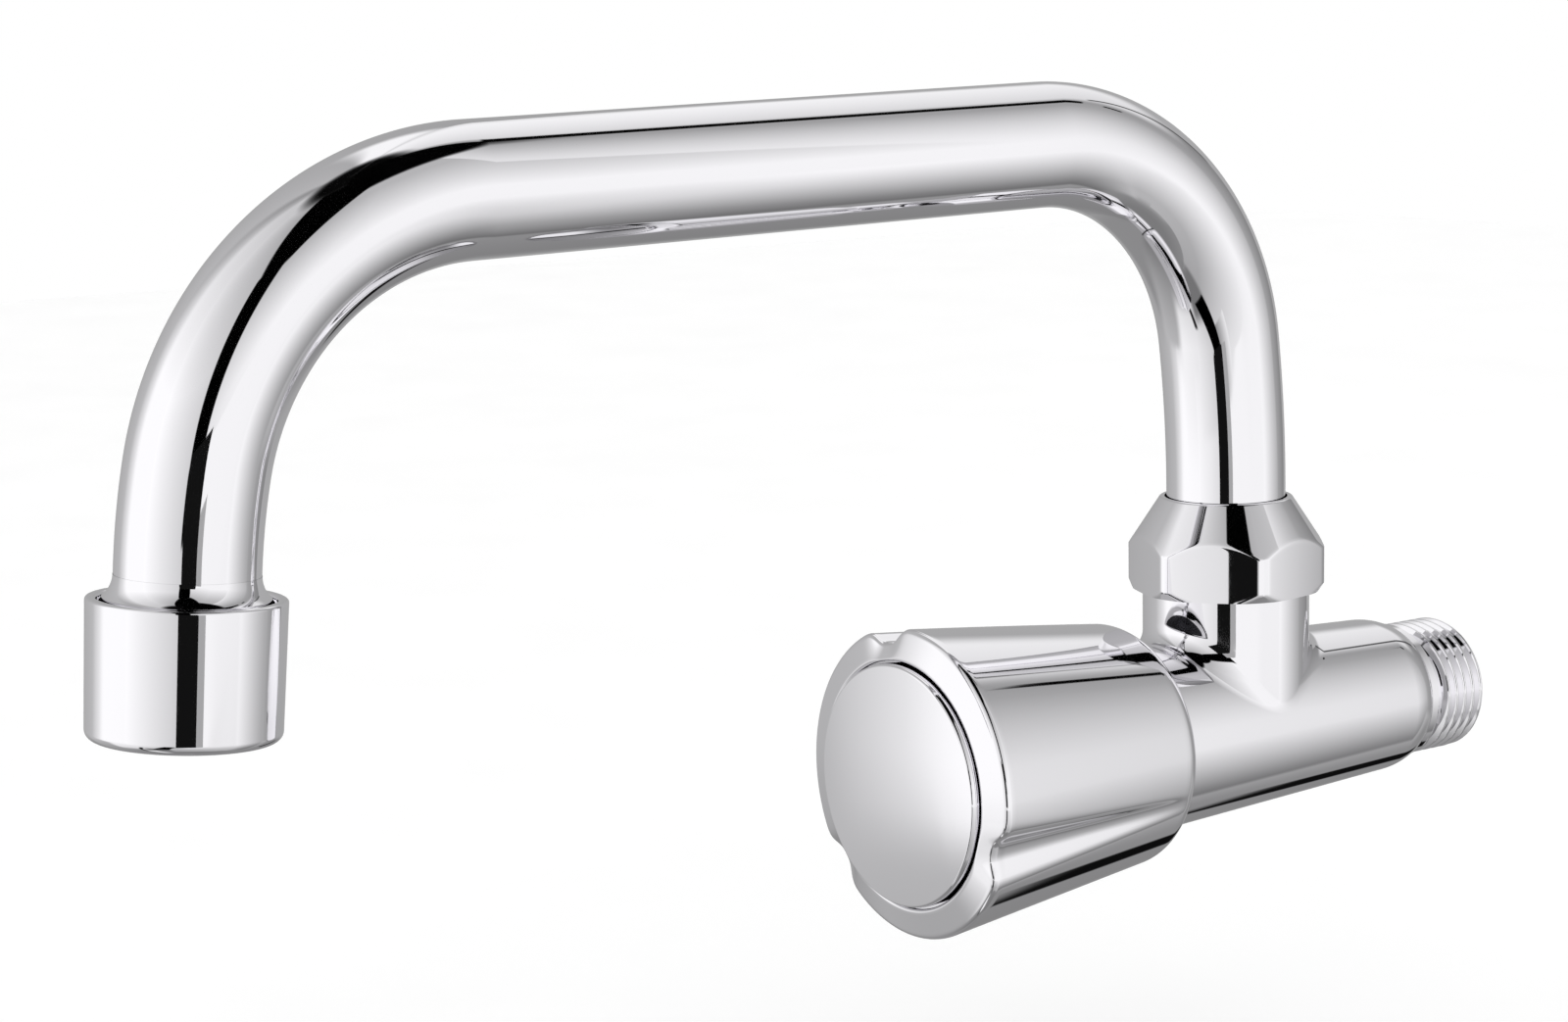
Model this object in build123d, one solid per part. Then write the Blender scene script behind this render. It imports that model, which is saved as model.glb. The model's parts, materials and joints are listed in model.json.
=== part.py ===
from build123d import *
import os
from math import cos, pi, radians, sin, tan

# Wall-mounted bib tap with a swivel spout, in millimetres
# The body axis is the Y axis, with the wall towards +Y and the knob towards -Y
# The origin is on the body axis, at the collar face that the inlet thread starts from
# Places along the body are given as distances forward of that face

# Inlet thread, a half-inch parallel pipe thread
THREAD_DIAMETER = 20.955
THREAD_PITCH = 25.4 / 14
THREAD_FLANK_ANGLE = 27.5
THREAD_DEPTH = 0.640327 * THREAD_PITCH
THREAD_ROOT_SINK = 0.2
INLET_LENGTH = 11.0
RELIEF_WIDTH = 1.3
RELIEF_DEPTH = 0.15
INLET_CHAMFER = 0.8
INLET_BORE = 13.0

# Valve body
BODY_LENGTH = 59.0
BODY_REAR_DIAMETER = 24.2
BODY_FRONT_DIAMETER = 28.7
COLLAR_DIAMETER = 21.4
COLLAR_WIDTH = 1.5
SHOULDER_LENGTH = 4.5
SHOULDER_DROP = 1.2
NECK_FORWARD = 35.6
NECK_SHOULDER_HEIGHT = 21.0
NECK_THREAD_LENGTH = 5.0
NECK_STEP = 0.75
NECK_WALL = 3.4
TEE_FILLET = 5.0
PORT_DIAMETER = 12.0

# Cartridge with ceramic discs, pushed in from the front of the body
NECK_TO_SEAT = 12.6
CHAMBER_DIAMETER = 19.2
BARREL_WALL = 1.2
SEAL_THICKNESS = 3.0
SEAL_BORE = 11.0
DISC_THICKNESS = 3.2
DISC_GAP = 0.02
DISC_PORT_INNER = 2.4
DISC_RIM = 1.6
DISC_PORT_SPAN = 78.0
DRIVER_THICKNESS = 2.0
DRIVER_WIDTH = 5.0
DRIVER_LUG_DEPTH = 1.0
WINDOW_LENGTH = 7.0
WINDOW_SPAN = 110.0
WINDOW_TO_COLLAR = 1.0
SPINDLE_SHANK = 7.0
THRUST_COLLAR_THICKNESS = 2.0
THRUST_WASHER_THICKNESS = 0.8
STEM_DIAMETER = 9.0
HEAD_THREAD_STEP = 0.6
HEAD_THREAD_LENGTH = 11.0
FLANGE_LEDGE = 2.6
FLANGE_THICKNESS = 2.0
GASKET_THICKNESS = 0.6
HEX_ACROSS_FLATS = 19.0
HEX_HEIGHT = 6.0
GLAND_DIAMETER = 14.0
GLAND_LENGTH = 6.0
STOP_TRAVEL = 90.0
STOP_LUG_SPAN = 24.0
STOP_LUG_HEIGHT = 1.3
STOP_LUG_STEP = 0.7
STOP_SPARE_ANGLE = 4.0
STOP_RING_THICKNESS = 1.2
CLIP_THICKNESS = 0.8
CLIP_STEP = 1.0
CLIP_OPENING = 2.5
SPLINE_DIAMETER = 8.0
SPLINE_TEETH = 20
SPLINE_DEPTH = 0.4
SPLINE_SETBACK = 4.8
STEM_RING_SECTION = 1.5
STEM_RING_SPACING = 5.0

# Knob
KNOB_OVERLAP = 2.5
KNOB_LENGTH = 40.9
KNOB_REAR_STEP = 3.6
KNOB_FRONT_DIAMETER = 45.4
KNOB_REAR_FILLET = 3.2
KNOB_RIM_FILLET = 1.0
KNOB_FACE_RISE = 1.3
KNOB_WALL = 3.2
KNOB_REAR_WALL = 2.2
KNOB_WEB = 2.5
KNOB_BOSS_DIAMETER = 16.0
KNOB_FACE_WIDTH = 4.75
RECESS_DEPTH = 2.8
FLUTE_COUNT = 3
FLUTE_ANGLE = -18.0
FLUTE_DEPTH = 2.3
FLUTE_FRONT_RADIUS = 5.2
FLUTE_REAR_RADIUS = 2.4
FLUTE_START = 2.6
INSERT_DIAMETER = 12.4
INSERT_LENGTH = 12.0
SCREW_DIAMETER = 4.0
SCREW_HOLE_DEPTH = 14.0
SCREW_HOLE_SPARE = 3.0
SCREW_HEAD_DIAMETER = 8.0
SCREW_HEAD_HEIGHT = 1.8
SCREW_HEAD_ROUNDING = 1.0
SCREW_SLOT_WIDTH = 1.0
SCREW_SLOT_LENGTH = 4.4
CAP_RISE = 0.9
CAP_DOME = 0.9
CAP_EDGE_FILLET = 0.8
CAP_THICKNESS = 1.6
CAP_SKIRT_WALL = 1.4

# Nut that holds the spout on the neck
NUT_WALL = 1.75
NUT_CORNER_STEP = 1.35
NUT_TOP_LAND = 1.0
NUT_CONE_HEIGHT = 7.6
NUT_CHAMFER = 0.8
NUT_TURN = -21.0
NUT_ROOF = 5.4

# Spout
TUBE_DIAMETER = 18.0
TUBE_WALL = 1.0
RISER_RUN = 6.85
RISER_EASE_RADIUS = 190.0
RISER_EASE_TURN = 7.2
REAR_BEND_RADIUS = 35.0
ARM_RUN = 94.3
ARM_FALL = 1.0
FRONT_BEND_RADIUS = 40.5
DROP_EASE_RADIUS = 93.6
DROP_EASE_TURN = 8.1
DROP_SPLAY = 4.4
DROP_RUN = 2.7
FERRULE_FLANGE_LEDGE = 1.5
FERRULE_FLANGE_PLAY = 1.1
FERRULE_FLANGE_THICKNESS = 2.0
FERRULE_WALL = 3.0
FERRULE_SPIGOT_LENGTH = 5.5
FERRULE_RING_SECTION = 1.8
FERRULE_RING_SPACING = 6.4
SOCKET_FLOOR_WALL = 1.45
SLIP_WASHER_THICKNESS = 0.8
KEEPER_THICKNESS = 1.0
KEEPER_OPENING = 1.2

# Outlet
SLEEVE_WALL = 1.6
SLEEVE_FLARE = 2.4
SLEEVE_FLARE_EDGE = 0.15
SLEEVE_FLARE_SINK = 0.4
SLEEVE_LENGTH = 7.5
CUP_MOUTH_STEP = 0.3
CUP_MOUTH_DEPTH = 1.3
CUP_RIM_WALL = 1.4
CUP_TAPER = 0.25
CUP_FILLET = 1.8
CUP_LIP_WIDTH = 1.35
CUP_LIP_THICKNESS = 1.5
OUTLET_WASHER_THICKNESS = 1.5
OUTLET_WASHER_BORE = 14.0
INSERT_SHELL_WALL = 1.2
INSERT_SHELL_LENGTH = 6.9
DIFFUSER_THICKNESS = 1.4
DIFFUSER_HOLES = 12
DIFFUSER_HOLE_DIAMETER = 1.5
SCREEN_THICKNESS = 0.4
SCREEN_SPACING = 1.1
SCREEN_HOLE_DIAMETER = 1.5
SCREEN_HOLE_PITCH = 2.2
GRILLE_THICKNESS = 2.2
GRILLE_STEP = 0.8
GRILLE_LEDGE_WIDTH = 0.8
GRILLE_LEDGE_THICKNESS = 0.6
GRILLE_CELL_FLATS = 2.4
GRILLE_CELL_PITCH = 3.0

# Clearances
SHAFT_CLEARANCE = 0.06
SEAT_CLEARANCE = 0.05
FREE_CLEARANCE = 0.3
THREAD_CLEARANCE = 0.05
PUSH_CLEARANCE = 0.03
KNOB_CLEARANCE = 0.35
GROOVE_CLEARANCE = 0.1
FACE_CLEARANCE = 0.1
STEP_CLEARANCE = 0.2

# Small roundings, and how far a cut or a join runs past a face
EDGE_ROUNDING = 0.4
OVERRUN = 1.0
JOIN_DEPTH = 0.5


# Diameters and radii that several pieces share
BARREL_RADIUS = CHAMBER_DIAMETER / 2 - FREE_CLEARANCE
BARREL_INNER_RADIUS = BARREL_RADIUS - BARREL_WALL
DISC_RADIUS = BARREL_INNER_RADIUS - FREE_CLEARANCE
HEAD_THREAD_RADIUS = CHAMBER_DIAMETER / 2 + HEAD_THREAD_STEP
FLANGE_RADIUS = HEAD_THREAD_RADIUS + FLANGE_LEDGE
STEM_BORE_RADIUS = STEM_DIAMETER / 2 + SHAFT_CLEARANCE
STOP_INNER_RADIUS = STEM_DIAMETER / 2 + STOP_LUG_STEP
STOP_OUTER_RADIUS = GLAND_DIAMETER / 2
KNOB_OPENING_RADIUS = BODY_FRONT_DIAMETER / 2 + KNOB_CLEARANCE
KNOB_REAR_RADIUS = BODY_FRONT_DIAMETER / 2 + KNOB_REAR_STEP
RECESS_RADIUS = KNOB_FRONT_DIAMETER / 2 - KNOB_FACE_WIDTH
TUBE_RADIUS = TUBE_DIAMETER / 2
TUBE_BORE_RADIUS = TUBE_RADIUS - TUBE_WALL
NUT_HOLE_RADIUS = TUBE_RADIUS + FREE_CLEARANCE
FERRULE_FLANGE_RADIUS = NUT_HOLE_RADIUS + FERRULE_FLANGE_LEDGE
NECK_THREAD_RADIUS = FERRULE_FLANGE_RADIUS + FERRULE_FLANGE_PLAY
NECK_RADIUS = NECK_THREAD_RADIUS + NECK_STEP
FERRULE_PLUG_RADIUS = NECK_THREAD_RADIUS - NECK_WALL
FERRULE_BORE_RADIUS = FERRULE_PLUG_RADIUS - FERRULE_WALL
SOCKET_RADIUS = FERRULE_PLUG_RADIUS + SHAFT_CLEARANCE
NUT_FLAT_RADIUS = NECK_THREAD_RADIUS + NUT_WALL
SLEEVE_RADIUS = TUBE_RADIUS + SLEEVE_WALL
CUP_BORE_RADIUS = SLEEVE_RADIUS + THREAD_CLEARANCE
CUP_MOUTH_RADIUS = CUP_BORE_RADIUS + CUP_MOUTH_STEP
CUP_RIM_RADIUS = CUP_MOUTH_RADIUS + CUP_RIM_WALL
CUP_LIP_RADIUS = CUP_BORE_RADIUS - CUP_LIP_WIDTH
SHELL_RADIUS = CUP_BORE_RADIUS - 2 * PUSH_CLEARANCE
SHELL_BORE_RADIUS = SHELL_RADIUS - INSERT_SHELL_WALL

# Places along the body axis that several pieces share
TAPER_START = COLLAR_WIDTH + SHOULDER_LENGTH
SEAT_FORWARD = NECK_FORWARD - NECK_TO_SEAT
SEAL_FRONT = SEAT_FORWARD + SEAL_THICKNESS
FIXED_DISC_FRONT = SEAL_FRONT + DISC_THICKNESS
MOVING_DISC_REAR = FIXED_DISC_FRONT + DISC_GAP
MOVING_DISC_FRONT = MOVING_DISC_REAR + DISC_THICKNESS
DRIVER_FRONT = MOVING_DISC_FRONT + DRIVER_THICKNESS
WINDOW_REAR = MOVING_DISC_FRONT + FREE_CLEARANCE
WINDOW_FRONT = WINDOW_REAR + WINDOW_LENGTH
COLLAR_REAR = WINDOW_FRONT + WINDOW_TO_COLLAR
COLLAR_FRONT = COLLAR_REAR + THRUST_COLLAR_THICKNESS
THRUST_REAR = COLLAR_FRONT + SEAT_CLEARANCE
THRUST_FRONT = THRUST_REAR + THRUST_WASHER_THICKNESS
HEAD_THREAD_REAR = BODY_LENGTH - HEAD_THREAD_LENGTH
FLANGE_REAR = BODY_LENGTH + GASKET_THICKNESS
FLANGE_FRONT = FLANGE_REAR + FLANGE_THICKNESS
HEX_FRONT = FLANGE_FRONT + HEX_HEIGHT
GLAND_FRONT = HEX_FRONT + GLAND_LENGTH
STOP_FRONT = GLAND_FRONT + STOP_LUG_HEIGHT
STOP_RING_REAR = STOP_FRONT + FREE_CLEARANCE
STOP_RING_FRONT = STOP_RING_REAR + STOP_RING_THICKNESS
CLIP_FRONT = STOP_RING_FRONT + CLIP_THICKNESS
KNOB_REAR = BODY_LENGTH - KNOB_OVERLAP
KNOB_RIM = KNOB_REAR + KNOB_LENGTH
FACE_FRONT = KNOB_RIM + KNOB_FACE_RISE
RECESS_FLOOR = FACE_FRONT - RECESS_DEPTH
WEB_REAR = RECESS_FLOOR - KNOB_WEB
SPINDLE_FRONT = WEB_REAR - SPLINE_SETBACK

# Places up the swivel axis that several pieces share
NECK_HEIGHT = NECK_SHOULDER_HEIGHT + NECK_THREAD_LENGTH
SOCKET_FLOOR = CHAMBER_DIAMETER / 2 + SOCKET_FLOOR_WALL
FERRULE_PLUG_BOTTOM = SOCKET_FLOOR + FREE_CLEARANCE
SLIP_WASHER_TOP = NECK_HEIGHT + SLIP_WASHER_THICKNESS
FERRULE_FLANGE_BOTTOM = SLIP_WASHER_TOP + SEAT_CLEARANCE
FERRULE_FLANGE_TOP = FERRULE_FLANGE_BOTTOM + FERRULE_FLANGE_THICKNESS
KEEPER_BOTTOM = FERRULE_FLANGE_TOP + SEAT_CLEARANCE
KEEPER_TOP = KEEPER_BOTTOM + KEEPER_THICKNESS
NUT_BOTTOM = NECK_SHOULDER_HEIGHT + FACE_CLEARANCE
NUT_ROOF_BOTTOM = KEEPER_TOP + FACE_CLEARANCE
NUT_TOP = NUT_ROOF_BOTTOM + NUT_ROOF

# Places below the cup's rim that several pieces share
SHELL_START = SLEEVE_LENGTH + OUTLET_WASHER_THICKNESS
SHELL_END = SHELL_START + INSERT_SHELL_LENGTH
CUP_HEIGHT = SHELL_END + CUP_LIP_THICKNESS
GRILLE_START = SHELL_END - GRILLE_THICKNESS + GRILLE_STEP
LEDGE_START = GRILLE_START - GRILLE_LEDGE_THICKNESS


def turned_about_body(outline, rounding=None):
    """A solid turned about the body axis from (distance forward, radius) corners."""
    corners = [(radius, -forward) for forward, radius in outline]
    return revolve(outline_face(corners, rounding), Axis.Y)


def turned_about_neck(outline, rounding=None):
    """A solid turned about the swivel axis from (height, radius) corners."""
    corners = [(radius, height) for height, radius in outline]
    face = Plane.XZ * outline_face(corners, rounding)
    return Pos(0, -NECK_FORWARD, 0) * revolve(face, Axis.Z)


def outline_face(corners, rounding=None):
    """A flat face with the given corners, of which rounding gives the radii."""
    radii = [0.0] * len(corners)
    for index, radius in (rounding or {}).items():
        radii[index] = radius
    return make_face(FilletPolyline(*corners, radius=radii, close=True))


def tube_outline(start, end, inner, outer):
    """The rectangle whose turning makes a plain ring."""
    return [(start, inner), (start, outer), (end, outer), (end, inner)]


def ring_about_body(start, end, inner, outer):
    """A plain ring about the body axis between two distances forward."""
    return turned_about_body(tube_outline(start, end, inner, outer))


def ring_about_neck(start, end, inner, outer):
    """A plain ring about the swivel axis between two heights."""
    return turned_about_neck(tube_outline(start, end, inner, outer))


def sector_about_body(start, end, inner, outer, middle, span):
    """A part ring about the body axis. Angles run from +X towards +Z."""
    corners = [(radius, -forward) for forward, radius in tube_outline(start, end, inner, outer)]
    sector = revolve(outline_face(corners), Axis.Y, span)
    return Rot(0, -(middle + span / 2), 0) * sector


def section_ring(plane_turn, forward_or_height, middle_radius, section_diameter):
    """A round-section ring, about the body axis or the swivel axis."""
    ring = Torus(middle_radius, section_diameter / 2)
    if plane_turn == "body":
        return Pos(0, -forward_or_height, 0) * Rot(90, 0, 0) * ring
    return Pos(0, -NECK_FORWARD, forward_or_height) * ring


def body_radius(forward):
    """The tapered body's radius at a distance forward of the collar face."""
    share = (forward - TAPER_START) / (BODY_LENGTH - TAPER_START)
    return (BODY_REAR_DIAMETER + share * (BODY_FRONT_DIAMETER - BODY_REAR_DIAMETER)) / 2


def knob_radius(forward):
    """The tapered knob's radius at a distance forward of the collar face."""
    share = (forward - KNOB_REAR) / KNOB_LENGTH
    return KNOB_REAR_RADIUS + share * (KNOB_FRONT_DIAMETER / 2 - KNOB_REAR_RADIUS)


def inlet_thread():
    """The threaded inlet: a helical ridge on a core, cut clean at both ends."""
    crest = THREAD_DIAMETER / 2
    root = crest - THREAD_DEPTH
    foot = root - THREAD_ROOT_SINK
    crest_half = THREAD_PITCH / 12
    foot_half = crest_half + (crest - foot) * tan(radians(THREAD_FLANK_ANGLE))
    section = make_face(
        Polyline(
            (foot, -foot_half),
            (crest, -crest_half),
            (crest, crest_half),
            (foot, foot_half),
            close=True,
        )
    )
    run_in = THREAD_PITCH / 2
    helix = Helix(THREAD_PITCH, INLET_LENGTH + 2 * run_in, root)
    ridge = sweep(Plane.XZ * section, path=helix, is_frenet=True)
    ridge = Pos(0, -run_in, 0) * Rot(-90, 0, 0) * ridge
    outside = crest + OVERRUN
    envelope = turned_about_body(
        [
            (-RELIEF_WIDTH, 0),
            (-RELIEF_WIDTH, outside),
            (INLET_CHAMFER + OVERRUN - INLET_LENGTH, outside),
            (-INLET_LENGTH, crest - INLET_CHAMFER),
            (-INLET_LENGTH, 0),
        ]
    )
    core = turned_about_body(
        [
            (OVERRUN, 0),
            (OVERRUN, root - RELIEF_DEPTH),
            (-RELIEF_WIDTH, root - RELIEF_DEPTH),
            (-RELIEF_WIDTH, root),
            (-INLET_LENGTH, root),
            (-INLET_LENGTH, 0),
        ]
    )
    return core + (ridge & envelope)


def valve_body():
    """The brass body: inlet thread, tapered barrel and the neck for the spout."""
    start_radius = body_radius(TAPER_START)
    end_radius = start_radius - SHOULDER_DROP
    slope = (body_radius(BODY_LENGTH) - start_radius) / (BODY_LENGTH - TAPER_START)
    shoulder = TangentArc(
        (start_radius, -TAPER_START), (end_radius, -COLLAR_WIDTH), tangent=(-slope, 1)
    )
    rest = Polyline(
        (end_radius, -COLLAR_WIDTH),
        (COLLAR_DIAMETER / 2, -COLLAR_WIDTH),
        (COLLAR_DIAMETER / 2, 0),
        (0, 0),
        (0, -BODY_LENGTH),
        (body_radius(BODY_LENGTH), -BODY_LENGTH),
        (start_radius, -TAPER_START),
    )
    barrel = revolve(make_face(shoulder + rest), Axis.Y)
    neck = turned_about_neck(
        [(0, 0), (0, NECK_RADIUS), (NECK_HEIGHT, NECK_RADIUS), (NECK_HEIGHT, 0)]
    )
    outside = barrel + neck
    tee = [
        edge
        for edge in outside.edges()
        if edge.geom_type not in (GeomType.LINE, GeomType.CIRCLE)
    ]
    # The fillet stays clear of the knob's rear
    room = KNOB_REAR - NECK_FORWARD - NECK_RADIUS - FREE_CLEARANCE
    outside = fillet(tee, min(TEE_FILLET, room))
    outside -= ring_about_neck(
        NECK_SHOULDER_HEIGHT, NECK_HEIGHT + OVERRUN, NECK_THREAD_RADIUS, NECK_RADIUS + OVERRUN
    )
    outside += inlet_thread()
    outside -= turned_about_body(
        [
            (-INLET_LENGTH - OVERRUN, 0),
            (-INLET_LENGTH - OVERRUN, INLET_BORE / 2),
            (SEAT_FORWARD, INLET_BORE / 2),
            (SEAT_FORWARD, CHAMBER_DIAMETER / 2),
            (HEAD_THREAD_REAR, CHAMBER_DIAMETER / 2),
            (HEAD_THREAD_REAR, HEAD_THREAD_RADIUS + THREAD_CLEARANCE),
            (BODY_LENGTH + OVERRUN, HEAD_THREAD_RADIUS + THREAD_CLEARANCE),
            (BODY_LENGTH + OVERRUN, 0),
        ]
    )
    outside -= turned_about_neck(
        [
            (0, 0),
            (0, PORT_DIAMETER / 2),
            (SOCKET_FLOOR, PORT_DIAMETER / 2),
            (SOCKET_FLOOR, SOCKET_RADIUS),
            (NECK_HEIGHT + OVERRUN, SOCKET_RADIUS),
            (NECK_HEIGHT + OVERRUN, 0),
        ]
    )
    return outside


def cartridge_seal():
    """The rubber ring that the fixed disc is pressed on."""
    return ring_about_body(
        SEAT_FORWARD, SEAL_FRONT, SEAL_BORE / 2, BARREL_INNER_RADIUS - PUSH_CLEARANCE
    )


def ported_disc(start, port_angle):
    """A ceramic disc with two fan-shaped ports."""
    end = start + DISC_THICKNESS
    disc = ring_about_body(start, end, 0, DISC_RADIUS)
    port = (start - OVERRUN, end + OVERRUN, DISC_PORT_INNER, DISC_RADIUS - DISC_RIM)
    for angle in (port_angle, port_angle + 180):
        disc -= sector_about_body(*port, angle, DISC_PORT_SPAN)
    return disc


def driver_bar(start, end, width):
    """A flat bar across the axis, rounded to the disc's edge."""
    bar = Box(2 * DISC_RADIUS, end - start, width)
    bar = Pos(0, -(start + end) / 2, 0) * bar
    return bar & ring_about_body(start, end, 0, DISC_RADIUS - FREE_CLEARANCE)


def fixed_disc():
    """The lower ceramic disc, held by the barrel."""
    return ported_disc(SEAL_FRONT, 90)


def moving_disc():
    """The upper ceramic disc, turned by the spindle. It is closed at rest."""
    disc = ported_disc(MOVING_DISC_REAR, 0)
    slot = driver_bar(
        MOVING_DISC_FRONT - DRIVER_LUG_DEPTH - PUSH_CLEARANCE,
        MOVING_DISC_FRONT + OVERRUN,
        DRIVER_WIDTH + 2 * PUSH_CLEARANCE,
    )
    return disc - Rot(0, 90, 0) * slot


def cartridge_housing():
    """The brass head: windowed barrel, thread, flange, hexagon and gland."""
    thread_rear = HEAD_THREAD_REAR + FREE_CLEARANCE
    housing = turned_about_body(
        [
            (SEAT_FORWARD + FREE_CLEARANCE, BARREL_INNER_RADIUS),
            (SEAT_FORWARD + FREE_CLEARANCE, BARREL_RADIUS),
            (thread_rear, BARREL_RADIUS),
            (thread_rear, HEAD_THREAD_RADIUS),
            (FLANGE_REAR, HEAD_THREAD_RADIUS),
            (FLANGE_REAR, FLANGE_RADIUS),
            (FLANGE_FRONT, FLANGE_RADIUS),
            (FLANGE_FRONT, GLAND_DIAMETER / 2),
            (GLAND_FRONT, GLAND_DIAMETER / 2),
            (GLAND_FRONT, STEM_BORE_RADIUS),
            (THRUST_FRONT, STEM_BORE_RADIUS),
            (THRUST_FRONT, BARREL_INNER_RADIUS),
        ]
    )
    hexagon = extrude(RegularPolygon(HEX_ACROSS_FLATS / 2, 6, major_radius=False), HEX_HEIGHT)
    hexagon = Pos(0, -FLANGE_FRONT, 0) * Rot(90, 0, 0) * hexagon
    hexagon -= ring_about_body(
        FLANGE_FRONT - OVERRUN, HEX_FRONT + OVERRUN, 0, STEM_BORE_RADIUS
    )
    housing += hexagon
    window = (WINDOW_REAR, WINDOW_FRONT, BARREL_INNER_RADIUS - OVERRUN, BARREL_RADIUS + OVERRUN)
    for angle in (90, 270):
        housing -= sector_about_body(*window, angle, WINDOW_SPAN)
    free_span = STOP_TRAVEL + STOP_LUG_SPAN + 2 * STOP_SPARE_ANGLE
    post_middle = STOP_TRAVEL / 2 + 180
    housing += sector_about_body(
        GLAND_FRONT - JOIN_DEPTH,
        STOP_FRONT,
        STOP_INNER_RADIUS,
        STOP_OUTER_RADIUS,
        post_middle,
        360 - free_span,
    )
    return housing


def head_gasket():
    """The fibre gasket under the head's flange."""
    return ring_about_body(
        BODY_LENGTH, FLANGE_REAR, HEAD_THREAD_RADIUS + FREE_CLEARANCE, FLANGE_RADIUS
    )


def thrust_washer():
    """The slippery washer between the spindle's collar and the head."""
    return ring_about_body(THRUST_REAR, THRUST_FRONT, STEM_BORE_RADIUS, DISC_RADIUS)


def stem_ring_places():
    """Where the two O-rings sit along the stem."""
    middle = (THRUST_FRONT + FLANGE_FRONT) / 2
    return [middle - STEM_RING_SPACING / 2, middle + STEM_RING_SPACING / 2]


def stem_groove_radius():
    """The depth of the stem's grooves, so that the rings just reach the bore."""
    return STEM_BORE_RADIUS - STEM_RING_SECTION


def spline_outline(clearance):
    """A toothed outline, enlarged by the clearance."""
    tip = SPLINE_DIAMETER / 2 + clearance
    root = tip - SPLINE_DEPTH
    corners = []
    for tooth in range(SPLINE_TEETH):
        for radius, part in ((tip, 0.0), (tip, 0.2), (root, 0.5), (root, 0.7)):
            angle = 2 * pi * (tooth + part) / SPLINE_TEETH
            corners.append((radius * cos(angle), radius * sin(angle)))
    return make_face(Polyline(*corners, close=True))


def spline_about_body(start, end, clearance):
    """A toothed bar along the body axis."""
    bar = extrude(spline_outline(clearance), end - start)
    return Pos(0, -start, 0) * Rot(90, 0, 0) * bar


def spindle():
    """The brass spindle: driver, thrust collar, grooved stem and splined end."""
    shank = SPINDLE_SHANK / 2
    stem = STEM_DIAMETER / 2
    neck = SPLINE_DIAMETER / 2 - SPLINE_DEPTH
    turned = turned_about_body(
        [
            (MOVING_DISC_FRONT, 0),
            (MOVING_DISC_FRONT, shank),
            (COLLAR_REAR, shank),
            (COLLAR_REAR, DISC_RADIUS),
            (COLLAR_FRONT, DISC_RADIUS),
            (COLLAR_FRONT, stem),
            (STOP_RING_REAR, stem),
            (STOP_RING_REAR, neck),
            (SPINDLE_FRONT, neck),
            (SPINDLE_FRONT, 0),
        ]
    )
    half = STEM_RING_SECTION / 2 + GROOVE_CLEARANCE
    for place in stem_ring_places():
        turned -= ring_about_body(
            place - half, place + half, stem_groove_radius(), stem + OVERRUN
        )
    turned += driver_bar(MOVING_DISC_FRONT, DRIVER_FRONT, DRIVER_WIDTH).rotate(Axis.Y, 90)
    lug = driver_bar(
        MOVING_DISC_FRONT - DRIVER_LUG_DEPTH, MOVING_DISC_FRONT + JOIN_DEPTH, DRIVER_WIDTH
    )
    turned += lug.rotate(Axis.Y, 90)
    turned += spline_about_body(CLIP_FRONT + STEP_CLEARANCE, SPINDLE_FRONT, 0)
    hole = SCREW_DIAMETER / 2 + PUSH_CLEARANCE
    return turned - ring_about_body(
        SPINDLE_FRONT - SCREW_HOLE_DEPTH, SPINDLE_FRONT + OVERRUN, 0, hole
    )


def stem_o_rings():
    """The two rubber rings that seal the stem in the head."""
    middle = stem_groove_radius() + STEM_RING_SECTION / 2
    rings = [
        section_ring("body", place, middle, STEM_RING_SECTION - 2 * PUSH_CLEARANCE)
        for place in stem_ring_places()
    ]
    return Compound(children=rings)


def stop_ring():
    """The ring whose lug meets the head's post at each end of the quarter turn."""
    bore = SPLINE_DIAMETER / 2 - SPLINE_DEPTH + PUSH_CLEARANCE
    ring = ring_about_body(STOP_RING_REAR, STOP_RING_FRONT, bore, STOP_OUTER_RADIUS)
    lug = sector_about_body(
        GLAND_FRONT + FREE_CLEARANCE,
        STOP_RING_REAR + JOIN_DEPTH,
        STOP_INNER_RADIUS,
        STOP_OUTER_RADIUS,
        0,
        STOP_LUG_SPAN,
    )
    return ring + lug


def spindle_clip():
    """The open clip that keeps the stop ring on the spindle."""
    bore = SPLINE_DIAMETER / 2 - SPLINE_DEPTH + PUSH_CLEARANCE
    clip = ring_about_body(STOP_RING_FRONT, CLIP_FRONT, bore, STOP_OUTER_RADIUS - CLIP_STEP)
    gap = Box(2 * STOP_OUTER_RADIUS, 4 * CLIP_THICKNESS, CLIP_OPENING)
    return clip - Pos(STOP_OUTER_RADIUS, -CLIP_FRONT, 0) * gap


def knob_insert():
    """The brass insert, pressed in the knob, with the spline's teeth inside."""
    rear = WEB_REAR - INSERT_LENGTH
    blank = ring_about_body(rear, WEB_REAR, 0, INSERT_DIAMETER / 2)
    return blank - spline_about_body(rear - OVERRUN, WEB_REAR + OVERRUN, PUSH_CLEARANCE)


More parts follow.
